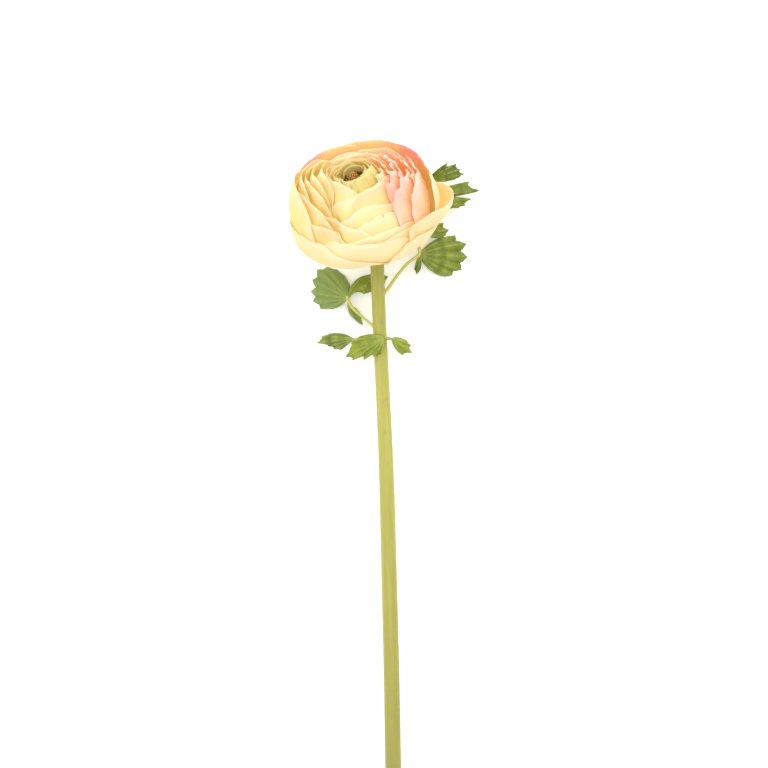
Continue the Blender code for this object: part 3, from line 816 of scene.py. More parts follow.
@dataclass
class Petal:
    """One petal: a patch of a bowl, narrow at its claw and round at its rim."""

    group: str                # its part of the head, as in its name
    azimuth: float            # of its middle
    half: float = 60.0        # half its width round the axis
    rim: float = 120.0        # how far it closes over: 90 is upright
    tilt: float = 0.0         # rim higher on the right than on the left
    ruffle: float = 0.2       # waves of its own at the rim, mm
    waves: float = 2.5        # number of half waves on each side of its middle
    shoulder: float = 0.6     # place along it where the rounding of its rim begins
    kick: float = 0.0         # how far its rim stands out from the head, mm
    out: float = 0.0          # how far all of it lies outside its bowl, mm
    foot: float = 0.0         # beta of its foot, where that is above the receptacle
    hug: float = 0.3          # how closely its rim holds the petals inside it, 0 to 1
    nick: float = 0.35        # unevenness of its outline, mm
    notch: float | None = None  # where its rim is torn in, from -1 to 1
    columns: int = 40
    rows: int = 26
    number: int = 1           # in its group
    level: float = 0.0        # of its bowl
    seed: int = 0

    CLEAR = 0.019             # clear space kept over the petals inside, as a level
    LOOSE = ((240.0, 24.0, 0.3), (80.0, 32.0, 0.5), (175.0, 52.0, 0.9))  # azimuth, spread, slack
    RUFFLED = (84.0, 24.0, 0.55, 0.3)  # azimuth and spread, level and depth of the ruffled patch
    THICK = (0.26, 0.14)      # of the tissue at the claw and at the rim, mm

    @property
    def name(self) -> str:
        """The piece's name."""
        return f"{self.group}_petal_{self.number}"

    @property
    def node(self) -> str:
        """The CAD node that it stands for."""
        return f"petal_{self.group}_{self.number}"

    def angles(self) -> tuple[float, float]:
        """Beta of its foot and of its rim, in degrees."""
        return max(math.degrees(HEAD.foot(self.level)), self.foot), self.rim

    def closed(self, azimuth: np.ndarray, beta: np.ndarray, along: np.ndarray, pile: Pile) -> np.ndarray:
        """Its level once its rim and its sides have closed on the petals under it.

        Args:
            azimuth: Azimuths of the points.
            beta: Their betas, in degrees.
            along: Their places from foot (0) to rim (1).
            pile: The petals inside it.

        Returns:
            The level of each point.
        """
        across = apart(azimuth, self.azimuth) / self.half
        # In front only a margin of 30 degrees closes, elsewhere nearly the whole upper half.
        front = bell(apart(azimuth, 345.0), 0.0, 52.0)
        margin = self.rim + self.tilt * np.clip(across, -1.0, 1.0) * along - beta
        near = (1.0 - front) * ease((along - 0.35) / 0.45) + front * ease((30.0 - margin) / 22.0)
        near = np.maximum(near, ease((np.abs(across) - 0.4) / 0.35) * ease(along / 0.4))
        gap = np.maximum(0.0, self.level - pile.under(azimuth, beta) - self.CLEAR)
        # Behind, on the left and on the right the layers stand apart, and their rims show.
        slack = sum(much * bell(apart(azimuth, at), 0.0, wide) for at, wide, much in self.LOOSE)
        slack = slack * (self.group != "front")
        return self.level - self.hug * (1.0 - slack) * near * np.minimum(gap, 0.22 + 0.1 * front)

    def taper(self, along: np.ndarray) -> np.ndarray:
        """Its width by the place along it, as a share: the claw is narrow."""
        return 0.42 + 0.58 * ease(along / 0.55)

    def ruffled(self) -> float:
        """How far it belongs to the ruffled patch on the right of the head, 0 to 1."""
        at, wide, level, deep = self.RUFFLED
        return bell(apart(self.azimuth, at), 0.0, wide) * bell(self.level, level, deep)

    def cover(self, pile: Pile) -> None:
        """Lay the petal on the pile.

        Args:
            pile: The petals inside it; the petal is added.
        """
        foot, rim = self.angles()
        azimuth, beta = np.meshgrid(pile.azimuths, pile.betas)
        along = (beta - foot) / (rim - foot)
        across = apart(azimuth, self.azimuth) / (self.half * self.taper(along))
        along = (beta - foot) / (rim + self.tilt * np.clip(across, -1.0, 1.0) * along - foot)
        q = np.clip((along - self.shoulder) / (1.0 - self.shoulder), 0.0, 1.0)
        inside = (along > 0.0) & (along < 1.0) & (np.abs(across) < np.sqrt(1.0 - 0.4 * q * q))
        pile.add(inside, self.closed(azimuth, beta, np.clip(along, 0.0, 1.0), pile))

    def shape(self, u: np.ndarray, v: np.ndarray, pile: Pile) -> tuple[np.ndarray, np.ndarray, np.ndarray]:
        """The petal's points, u from -1 to 1 across and v from foot to rim.

        Args:
            u: Places across, rows by columns.
            v: Places along, rows by columns.
            pile: The petals inside it.

        Returns:
            The points, and the azimuth and the along value of each.
        """
        draw = random.Random(1000 + self.seed)
        phase = [draw.uniform(0.0, 2.0 * math.pi) for _ in range(6)]
        q = np.maximum(0.0, (v - self.shoulder) / (1.0 - self.shoulder))
        across = u * np.sqrt(1.0 - 0.4 * q * q)
        along = np.where(v > self.shoulder,
                         self.shoulder + (1.0 - self.shoulder) * q * np.sqrt(1.0 - 0.4 * u * u), v)
        foot, rim = self.angles()
        rim = rim + self.tilt * across * along
        edge = ease((along - 0.5) * 2.0)
        tip = ease((along - 0.72) / 0.28)
        radius = HEAD.radii[0] + (HEAD.radii[1] - HEAD.radii[0]) * self.level
        # The outline is uneven: slow swings, small nicks, and a tear in some.
        lift = self.nick * (0.9 * np.sin(3.1 * u + phase[0]) + 0.5 * np.sin(7.3 * u + phase[1])
                            + 0.25 * np.sin(15.7 * u + phase[2]))
        # In the ruffled patch the rims are lobed, and cross one another.
        lift = lift + 1.8 * self.ruffled() * np.sin(11.0 * u + phase[5])
        if self.notch is not None:
            lift = lift - 1.5 * bell(u, self.notch, 0.035)
        beta = foot + along * (rim - foot) + np.degrees(tip * lift / radius)
        azimuth = self.azimuth + self.half * self.taper(along) * across
        azimuth = azimuth + 2.2 * self.ruffled() * u * np.sin(17.0 * along + phase[4])
        # Waves of its own, one rim that stands out, and folds shared with its neighbours.
        out = self.out + 0.5 * self.ruffle * np.sin(self.waves * math.pi * u + phase[4]) * edge
        out = out + self.kick * bell(across, 0.2, 0.55) * ease((along - 0.6) / 0.4)
        out = out + 0.1 * np.sin(2.1 * u + 5.0 * v + phase[3]) * edge
        out = out + (self.crumple(azimuth, beta) + self.pleats(azimuth)) * edge
        level = self.closed(azimuth, beta, along, pile)
        out = out + HEAD.fuller(level, azimuth) * ease((beta - 12.0) / 40.0)
        r, h = HEAD.moved_out(level, np.radians(beta), out)
        return HEAD.place(r, azimuth, h, side=HEAD.aside(level)), azimuth, along

    def pleats(self, azimuth: np.ndarray) -> np.ndarray:
        """Soft upright folds in the front of the heart, which its petals share.

        Args:
            azimuth: Azimuths of the points.

        Returns:
            How far each is moved out, mm.
        """
        amount = 0.6 * bell(apart(azimuth, 10.0), 0.0, 75.0) * bell(self.level, 0.1, 0.22)
        turn = np.radians(azimuth)
        return amount * (np.sin(17.0 * turn + 0.6 * np.sin(3.0 * turn)) + 0.4 * np.sin(29.0 * turn + 1.0))

    def crumple(self, azimuth: np.ndarray, beta: np.ndarray) -> np.ndarray:
        """Folds on the right of the head, which run through the layers there together.

        Args:
            azimuth: Azimuths of the points.
            beta: Their betas, in degrees.

        Returns:
            How far each is moved out, mm.
        """
        amount = 0.7 * bell(apart(azimuth, 80.0), 0.0, 27.0) * ease((beta - 80.0) / 18.0)
        amount = amount * bell(self.level, *self.RUFFLED[2:]) ** 0.5
        slant = np.radians(azimuth + 0.4 * (beta - 100.0))
        across = np.radians(beta - 0.5 * azimuth)
        return amount * (np.sin(slant * 31.0 + 4.0 * self.level) + 0.45 * np.sin(slant * 47.0 + 1.3)
                         + 0.7 * np.sin(across * 22.0 + 9.0 * self.level))

    def build(self, tissue: bpy.types.Material, slot: Slot, sprays: tuple[Spray, ...],
              pile: Pile) -> bpy.types.Object:
        """Model and dress the petal.

        Args:
            tissue: Its finish.
            slot: The record's slot for it.
            sprays: Colour laid over the head.
            pile: The petals inside it; the petal is laid on it.

        Returns:
            The piece.
        """
        u, v = np.meshgrid(np.linspace(-1.0, 1.0, self.columns + 1),
                           np.linspace(0.0, 1.0, self.rows + 1) ** 1.05)
        points, azimuth, along = self.shape(u, v, pile)
        self.cover(pile)
        steps = np.linalg.norm(np.diff(points, axis=0), axis=-1)
        run = np.concatenate([np.zeros((1, u.shape[1])), np.cumsum(steps, axis=0)])
        below = run[-1:] - run
        halves = np.linalg.norm(np.diff(points, axis=1), axis=-1).sum(1, keepdims=True) / 2.0
        side = (1.0 - np.abs(u)) * halves
        # Depth below the nearest edge picks the colour; its warmth is partly the claw's own yellow and partly
        # painted shade where other petals cover this one.
        depth = np.minimum(below, 1.4 * side + 6.0 * (1.0 - v))
        # Painted light: the outermost petals are lit, so their painted shade is cut back and they stay pale
        # nearly to the foot.
        open_air = float(ease((self.level - 0.8) / 0.12))
        depth = depth * (1.0 - 0.45 * open_air)
        blade = np.stack([u * halves, run, depth], -1)
        coral, rose = (sum((s.at(azimuth, self.level) for s in sprays if s.rose == pink), np.zeros_like(u))
                       for pink in (False, True))
        # Pink keeps to the rims, and off the front petals and the one that stands out.
        rose = rose * bell(depth, 0.0, 7.0) * (not self.kick and self.group != "front")
        tint = np.stack([np.clip(coral, 0.0, 1.0), np.clip(rose, 0.0, 1.0), np.zeros_like(u)], -1)
        # Their lit inner faces take little of the inner face's painted shade.
        inside = tint + np.array([0.0, 0.0, 1.0 - 0.8 * open_air])
        claw, rim = self.THICK
        maker = MeshMaker()
        maker.sheet(points, claw - (claw - rim) * ease((along - 0.6) / 0.4), blade, tint, inside)
        return show(maker.build(self.name, [tissue]), slot, self.node)


class Corolla:
    """All the petals, laid from the heart outwards."""

    SPRAYS = (
        Spray(80.0, 28.0, 0.48, 0.2, 0.9),                  # the ruffled patch
        Spray(165.0, 32.0, 0.27, 0.1, 0.7),                 # behind the heart
        Spray(136.0, 20.0, 0.56, 0.16, 0.25),               # back right
        Spray(46.0, 18.0, 0.6, 0.2, 0.6, rose=True),        # front right
        Spray(97.0, 17.0, 0.93, 0.12, 0.8, rose=True),      # the outer rims on the right
        Spray(110.0, 17.0, 0.95, 0.14, 0.9, rose=True),
        Spray(126.0, 22.0, 0.8, 0.16, 0.3, rose=True),
        Spray(206.0, 13.0, 0.95, 0.14, 0.95, rose=True),    # the outer rims back left
    )

    def rows(self) -> list[Petal]:
        """The petals in the order they open.

        Returns:
            The petals, from the heart outwards.
        """
        heart = [Petal("heart", (20.0 + 137.5 * i) % 360.0, 66.0, 134.0 - 0.5 * (i // 3), ruffle=0.0,
                       shoulder=0.75, nick=0.12, columns=44, rows=20) for i in range(9)]
        inner = [
            Petal("inner", 175.0, 54.0, 125.0, ruffle=0.25, waves=3.0),
            Petal("inner", 112.0, 52.0, 124.0, ruffle=0.25, waves=3.0),
            Petal("inner", 218.0, 52.0, 124.0),
            Petal("inner", 72.0, 45.0, 118.0, ruffle=0.3, waves=3.0),
            Petal("inner", 160.0, 52.0, 120.0),
            Petal("inner", 248.0, 54.0, 133.0, ruffle=0.15),
            Petal("inner", 303.0, 60.0, 131.0, -8.0, ruffle=0.1, shoulder=0.7),
            Petal("right", 110.0, 41.0, 121.0, ruffle=0.25, waves=3.0),
            Petal("left", 245.0, 56.0, 138.0, ruffle=0.1),
            Petal("back", 148.0, 52.0, 117.0),
            Petal("front", 8.0, 76.0, 116.5, ruffle=0.1, shoulder=0.82),
        ]
        middle = [
            Petal("right", 72.0, 36.0, 115.0, ruffle=0.5, waves=3.0),
            Petal("back", 196.0, 52.0, 116.0),
            Petal("front", 358.0, 52.0, 104.0, -3.0, ruffle=0.15, shoulder=0.7),
            Petal("right", 100.0, 40.0, 117.0, ruffle=0.5, waves=3.0),
            Petal("left", 245.0, 57.0, 134.0, ruffle=0.15),
            Petal("front", 10.0, 50.0, 96.0, -5.0, ruffle=0.15, notch=0.2),
            Petal("right", 64.0, 36.0, 109.0, ruffle=0.5, waves=3.0),
            Petal("back", 160.0, 50.0, 112.0, ruffle=0.25),
            Petal("left", 250.0, 56.0, 129.0, ruffle=0.15, shoulder=0.7),
            Petal("front", 302.0, 62.0, 104.0, -6.0, ruffle=0.15, shoulder=0.7),
            Petal("right", 97.0, 40.0, 113.0, ruffle=0.3, waves=3.0),
            Petal("back", 190.0, 47.0, 110.0, ruffle=0.1),
            Petal("front", 12.0, 54.0, 86.0, -14.0, ruffle=0.15, notch=0.4),
            Petal("left", 238.0, 50.0, 130.0, ruffle=0.1),
            Petal("back", 136.0, 47.0, 111.0, ruffle=0.3),
        ]
        outer = [
            Petal("left", 260.0, 54.0, 121.0, ruffle=0.15),
            Petal("front", 297.0, 60.0, 101.0, -15.0, ruffle=0.15, shoulder=0.7),
            Petal("right", 84.0, 42.0, 109.0, ruffle=0.25),
            Petal("back", 178.0, 49.0, 108.0, ruffle=0.25),
            Petal("front", 24.0, 56.0, 76.0, -12.0, ruffle=0.15),
            Petal("left", 250.0, 46.0, 127.0, ruffle=0.1, out=0.15),
            Petal("right", 97.0, 42.0, 108.0, out=2.2),
            Petal("front", 345.0, 50.0, 88.0, -14.0, ruffle=0.1),
            Petal("back", 198.0, 47.0, 120.0, ruffle=0.1, out=0.8),
            Petal("right", 64.0, 38.0, 86.0, ruffle=0.15, kick=7.0),
            Petal("back", 152.0, 50.0, 115.0, ruffle=0.25),
            Petal("front", 303.0, 60.0, 89.0, -24.0, ruffle=0.1),
            Petal("front", 42.0, 45.0, 66.0, -6.0, ruffle=0.1),
        ]
        rows = heart + inner + middle + outer
        counts: dict[str, int] = {}
        for i, petal in enumerate(rows):
            counts[petal.group] = counts.get(petal.group, 0) + 1
            petal.number, petal.seed = counts[petal.group], i
            petal.hug = 0.9 if petal.group == "heart" else 1.0
        self.settle(rows)
        return rows

    def settle(self, rows: list[Petal]) -> None:
        """Give each petal a bowl between the petals it overlaps and those that overlap it.

        Args:
            rows: The petals in the order they open.
        """
        below, above = [0.0] * len(rows), [0.0] * len(rows)
        touch = [[abs(apart(p.azimuth, q.azimuth)) < p.half + q.half + 3.0 for q in rows] for p in rows]
        for i in range(len(rows)):
            below[i] = max((below[j] + 1.0 for j in range(i) if touch[i][j]), default=0.0)
        for i in reversed(range(len(rows))):
            above[i] = max((above[j] + 1.0 for j in range(i + 1, len(rows)) if touch[i][j]), default=0.0)
        for petal, low, high in zip(rows, below, above):
            petal.level = low / (low + high)
            log.info("%s is at level %.2f", petal.name, petal.level)

    def build(self) -> None:
        """Model and dress every petal."""
        cream, pale, coral, heart = (
            tissue.make() for tissue in (CREAM_TISSUE, PALE_TISSUE, CORAL_TISSUE, HEART_TISSUE))
        pile = Pile()
        for petal in self.rows():
            if petal.group in ("heart", "inner"):
                slot, tissue = Slot.HEART, heart if petal.level < 0.25 else cream
            elif petal.group == "right":
                slot, tissue = Slot.CORAL, coral if petal.level < 0.85 else pale
            else:
                slot, tissue = Slot.CREAM, pale if petal.group == "back" and petal.level > 0.55 else cream
            petal.build(tissue, slot, self.SPRAYS, pile)


@dataclass
class Eye:
    """The flower's eye: a cone of beaked carpels inside a crown of stamens."""

    cone: tuple[tuple[float, float], ...] = (               # radius and height
        (2.0, 22.0), (2.7, 25.0), (2.9, 34.0), (2.6, 39.5), (1.9, 43.0), (0.7, 45.0))
    carpels: int = 150
    beaks: tuple[float, float] = (24.0, 45.0)  # heights of the lowest and the highest
    beak: float = 1.3         # length of a beak
    stamens: int = 46
    ring: float = 3.6         # radius of the ring on which the filaments stand
    floor: float = 24.2       # its height
    crown: tuple[float, float] = (4.5, 5.5)    # radii that the filaments reach
    tops: tuple[float, float] = (37.5, 41.0)   # and heights
    anther: float = 1.9       # length of an anther
    turn: float = 137.5       # azimuth from one part to the next

    def build(self) -> None:
        """Model and dress the carpels and the stamens."""
        self.build_carpels(GrainySkin("carpel_dry_skin", "#ad7a36", "#dcb162").make())
        self.build_stamens([StalkSkin("filament_pale", "#e3d27a", "#b9a24a", "#9c8446").make(),
                            GrainySkin("anther_dark_pollen", "#3a2a12", "#8a6a24", grain=0.3).make()])

    def build_carpels(self, skin: bpy.types.Material) -> None:
        """A cone closed over by small overlapping beaks.

        Args:
            skin: Their finish.
        """
        profile = smooth_path(self.cone, 4)
        angle = np.linspace(0.0, 360.0, 32, endpoint=False)
        maker = MeshMaker()
        rings = HEAD.place(profile[:, :1] * 0.85, angle, profile[:, 1:], press=False, side=HEAD.drift)
        index = maker.grid(rings, rings, np.zeros(3), round_=True)
        maker.cap(index[0][::-1])
        maker.cap(index[-1])
        for k in range(self.carpels):
            share = (k + 0.5) / self.carpels
            height = self.beaks[0] + (self.beaks[1] - self.beaks[0]) * share
            radius = float(np.interp(height, profile[:, 1], profile[:, 0])) * 0.9
            rows = []
            for t in np.linspace(0.0, 1.0, 6):
                # Each beak bulges out of the cone and thins to a point.
                out, size = 0.275 * math.sin(math.pi * min(t * 1.4, 1.0)), 0.42 * (1.0 - t) ** 0.6 + 0.04
                at = HEAD.place(radius + out, self.turn * k, height + self.beak * t, press=False,
                                side=HEAD.drift)
                rows.append([*at, size])
            maker.tube(np.array(rows), 6)
        show(maker.build("carpel_beaks", [skin]), Slot.CARPEL, "carpel_cone")

    def build_stamens(self, skins: list[bpy.types.Material]) -> None:
        """Thin filaments, each with a long dark anther.

        Args:
            skins: The finishes of the filaments and of the anthers.
        """
        draw = random.Random(11)
        maker = MeshMaker()
        for k in range(self.stamens):
            turn = self.turn * k + draw.uniform(-6.0, 6.0)
            tip, top = draw.uniform(*self.crown), draw.uniform(*self.tops)
            stalk = [[*HEAD.place(self.ring + (tip - self.ring) * t * t, turn,
                                  self.floor + (top - self.floor) * t, press=False, side=HEAD.drift), 0.13]
                     for t in np.linspace(0.0, 1.0, 5)]
            maker.tube(np.array(stalk), 6)
            head = [[*HEAD.place(tip + 0.2 * t, turn, top + self.anther * t, press=False, side=HEAD.drift),
                     0.44 * math.sin(math.pi * (0.12 + 0.8 * t)) + 0.04] for t in np.linspace(0.0, 1.0, 6)]
            maker.tube(np.array(head), 8, slot=1)
        show(maker.build("stamen_crown", skins), Slot.STAMEN, "stamen_ring")


@dataclass
class Calyx:
    """The receptacle on top of the stem, and the five sepals under the petals."""

    sepals: int = 5

    def build(self) -> None:
        """Model and dress the receptacle and the sepals."""
        skin = StalkSkin("receptacle_pale_green", "#b9b866", "#8f9440", "#a89a5c").make()
        t = np.linspace(0.0, np.pi, 26)[1:-1, None]
        half = HEAD.receptacle_half
        rings = HEAD.place(half[0] * np.sin(t), np.linspace(0.0, 360.0, 36, endpoint=False),
                           HEAD.receptacle_mid - half[1] * np.cos(t), press=False)
        maker = MeshMaker()
        index = maker.grid(rings, rings, np.zeros(3), round_=True)
        maker.cap(index[0][::-1])
        maker.cap(index[-1])
        show(maker.build("receptacle_dome", [skin]), Slot.RECEPTACLE, "receptacle")
        leaf = LeafTissue("sepal_soft_green", young="#a3a852", dark_tone="#7b8438", under="#8f9a4c").make()
        for i in range(self.sepals):
            blade = Petal("sepal", 36.0 + 72.0 * i, 26.0, 22.0, ruffle=0.0, shoulder=0.4, out=0.8, foot=7.5,
                          hug=0.0, nick=0.2, columns=24, rows=18, number=i + 1, level=1.0, seed=90 + i)
            self.build_sepal(blade, leaf)

    def build_sepal(self, blade: Petal, leaf: bpy.types.Material) -> None:
        """Model one sepal as a short, cupped leaf with one main vein.

        Args:
            blade: The sepal's place and shape.
            leaf: Its finish.
        """
        u, v = np.meshgrid(np.linspace(-1.0, 1.0, blade.columns + 1), np.linspace(0.0, 1.0, blade.rows + 1))
        points = blade.shape(u, v, Pile())[0]
        marks = np.stack([np.abs(u) * 6.0 * (0.4 + 0.6 * v), v * 14.0, v], -1)
        maker = MeshMaker()
        maker.sheet(points, 0.3 - 0.12 * v, marks, np.array([0.5, 0.0, 0.0]), np.array([0.5, 0.0, 0.6]))
        show(maker.build(f"sepal_blade_{blade.number}", [leaf]), Slot.SEPAL, f"sepal_{blade.number}")


# ------------------------------------------------------------------ stem and leaves

@dataclass
class Stem:
    """The bare stem: ribbed, a little uneven, cut hollow."""

    path: tuple[tuple[float, float, float, float], ...] = (
        (-3.75, 149.95, 16.1, 1.9), (-3.4, 149.0, 15.2, 2.2), (-3.1, 147.4, 13.9, 3.0),
        (-2.9, 143.5, 12.6, 3.5), (-2.8, 135.0, 11.6, 3.5), (-1.75, 108.0, 10.7, 3.4),
        (-0.9, 91.0, 10.2, 3.45), (1.15, 48.0, 9.2, 3.65), (2.35, 13.0, 8.6, 3.85),
        (3.2, -20.0, 7.6, 3.9), (4.4, -70.0, 6.2, 3.95), (5.25, -117.0, 5.2, 4.0),
        (6.2, -160.0, 4.4, 4.0), (7.0, -200.4, 4.0, 4.0))
    sides: int = 44           # corners of its section
    ribs: int = 11
    rib: float = 0.07         # height of a rib
    hollow: float = 0.52      # inner radius at the cut, of the outer
    recess: float = 7.0       # how deep the hollow is modelled

    def build(self) -> None:
        """Model and dress the stem."""
        skin = StalkSkin("stem_fresh_green", "#b9b45c", "#a19e46", "#a58c60").make()
        pith = GrainySkin("stem_pith", "#c3c184", "#e0dfae", grain=0.6).make()
        rows = smooth_path(self.path, 14)
        maker = MeshMaker()
        first, last = maker.tube(rows, self.sides, ribs=self.ribs, rib=self.rib, closed=False)
        maker.cap(first)
        # The cut end: a wall, then the hollow going back up the stem.
        end = rows[-1]
        ahead = unit(rows[-1, :3] - rows[-2, :3])
        side = unit(np.cross(ahead, (0.0, 0.0, 1.0)))
        up = np.cross(side, ahead)
        angle = np.linspace(0.0, 2.0 * np.pi, self.sides, endpoint=False)
        ring = side * np.cos(angle)[:, None] + up * np.sin(angle)[:, None]
        sizes = (0.97, self.hollow + 0.06, self.hollow, self.hollow * 0.9)
        backs = (-0.05, 0.05, 0.35, self.recess)
        rings = np.array([end[:3] - ahead * back + ring * end[3] * size for size, back in zip(sizes, backs)])
        inner = maker.grid(rings, rings, np.zeros(3), 1, flip=True, round_=True)
        maker.band(inner[0], last)
        maker.cap(inner[-1][::-1], 1)
        show(maker.build("stem_skin", [skin, pith]), Slot.STEM, "stem")


@dataclass
class Leaflet:
    """A lobed, toothed blade that fans out from the point where it is attached."""

    base: tuple[float, float, float]
    heading: float            # 0 is +X, 90 is +Y
    length: float
    spread: float
    lobes: tuple[tuple[float, float, float], ...]  # angle off the heading, reach, cut after it
    rise: float = 0.0         # height of its tip over its base
    arch: float = 2.0         # height of its middle over a straight line
    roll: float = 0.0         # how far its left edge is higher than its middle
    bend: float = 0.0         # how far its tip turns to the left
    crease: float = 0.4       # depth of the folds between the lobes, mm
    teeth: int = 2            # notches between two lobes
    bite: float = 0.085       # their depth, of the reach
    under: bool = False       # its underside faces up
    tone: float = 0.5         # 0 dark, 1 young and light
    columns: int = 120
    rows: int = 22
    seed: int = 0

    CLEAR = 0.35              # least height over the table

    def outline(self, angle: np.ndarray) -> tuple[np.ndarray, np.ndarray]:
        """How far the blade reaches at an angle off its heading, and its nearest vein.

        Args:
            angle: Angles off the heading in degrees, rising.

        Returns:
            Reach as a share of the length, and the nearest lobe's angle.
        """
        lobes = sorted(self.lobes)
        angles = np.array([-self.spread, *(a for a, _, _ in lobes), self.spread])
        reach = np.array([lobes[0][1] * 0.4, *(r for _, r, _ in lobes), lobes[-1][1] * 0.4])
        cuts = [0.0, *(c for _, _, c in lobes[:-1]), 0.0]
        out = np.interp(angle, angles, reach)
        shares = [np.clip((angle - a) / (b - a), 0.0, 1.0) for a, b in zip(angles[:-1], angles[1:])]
        for t, cut in zip(shares, cuts):
            out = out * (1.0 - cut * np.sin(np.pi * t) ** 2.6)
        wide = np.hanning(9)
        out = np.convolve(np.pad(out, 4, mode="edge"), wide / wide.sum(), mode="valid")
        for t in shares:
            scallop = 1.0 - np.abs(np.cos(np.pi * self.teeth * t)) ** 0.4
            crumb = 1.0 - np.abs(np.cos(2.0 * np.pi * self.teeth * t)) ** 0.5
            out = out * (1.0 - (self.bite * scallop + 0.03 * crumb) * (0.0 < t) * (t < 1.0))
        out = np.convolve(np.pad(out, 1, mode="edge"), np.array([1.0, 2.0, 1.0]) / 4.0, mode="valid")
        nearest = np.array([min((a for a, _, _ in lobes), key=lambda lobe: abs(lobe - x)) for x in angle])
        return out, nearest

    def add(self, maker: MeshMaker) -> None:
        """Model the blade into a leaf's mesh.

        Args:
            maker: The leaf's mesh.
        """
        draw = random.Random(300 + self.seed)
        phase = [draw.uniform(0.0, 2.0 * math.pi) for _ in range(4)]
        line = np.linspace(-1.0, 1.0, self.columns + 1)
        reach, vein = self.outline(line * self.spread)
        u, v = np.meshgrid(line, np.linspace(0.0, 1.0, self.rows + 1))
        off = line * self.spread
        angle = np.radians(self.heading + off[None, :] * (1.0 - 0.18 * v * v) + self.bend * v * v)
        away = self.length * reach[None, :] * v
        foot = 0.6 * u * (1.0 - v)    # the base has a width of its own
        square = math.radians(self.heading + 90.0)
        ridge = np.cos(2.0 * np.pi * np.clip(np.abs(off - vein) / 26.0, 0.0, 0.5))[None, :]
        # The blade folds along its lobes, and slower and quicker waves run over it.
        height = ((self.rise + self.roll * u) * v + self.arch * 4.0 * v * (1.0 - v)
                  + self.crease * ridge * v * (1.0 - 0.4 * v)
                  + 0.5 * np.sin(6.0 * u + 3.0 * v + phase[0]) * v * v
                  + 0.28 * np.sin(13.0 * u - 7.0 * v + phase[1]) * v
                  + 0.16 * np.sin(9.0 * u + 17.0 * v + phase[2]) * v)
        points = np.stack([self.base[0] + away * np.cos(angle) + foot * math.cos(square),
                           self.base[1] + away * np.sin(angle) + foot * math.sin(square),
                           np.maximum(self.base[2] + height, self.CLEAR)], -1)
        stray = np.abs(np.radians(off - vein))[None, :] * away
        blade = np.stack([stray + np.zeros_like(v), away, np.full_like(away, 10.0 * self.seed)], -1)
        # Across runs to the left here, so the sheet's outer face is the one below.
        low, high = np.array([self.tone, 0.0, 1.0]), np.array([self.tone, 0.0, 0.0])
        if self.under:
            low, high = high, low
        maker.sheet(points, 0.36 - 0.16 * v, blade, low, high)


@dataclass
class Leaf:
    """A divided leaf: stalks and blades grown into one piece."""

    name: str
    node: str
    stalks: list[list[tuple[float, float, float, float]]] = field(default_factory=list)
    blades: list[Leaflet] = field(default_factory=list)

    def build(self, tissue: bpy.types.Material, stalk: bpy.types.Material) -> None:
        """Model and dress the leaf.

        Args:
            tissue: The finish of its blades.
            stalk: The finish of its stalks.
        """
        maker = MeshMaker()
        for path in self.stalks:
            maker.tube(smooth_path(path, 8), 14, slot=1, ribs=3, rib=0.06)
        for i, blade in enumerate(self.blades):
            blade.seed = i + 10 * len(self.name)
            blade.add(maker)
        show(maker.build(self.name, [tissue, stalk]), Slot.LEAF, self.node)


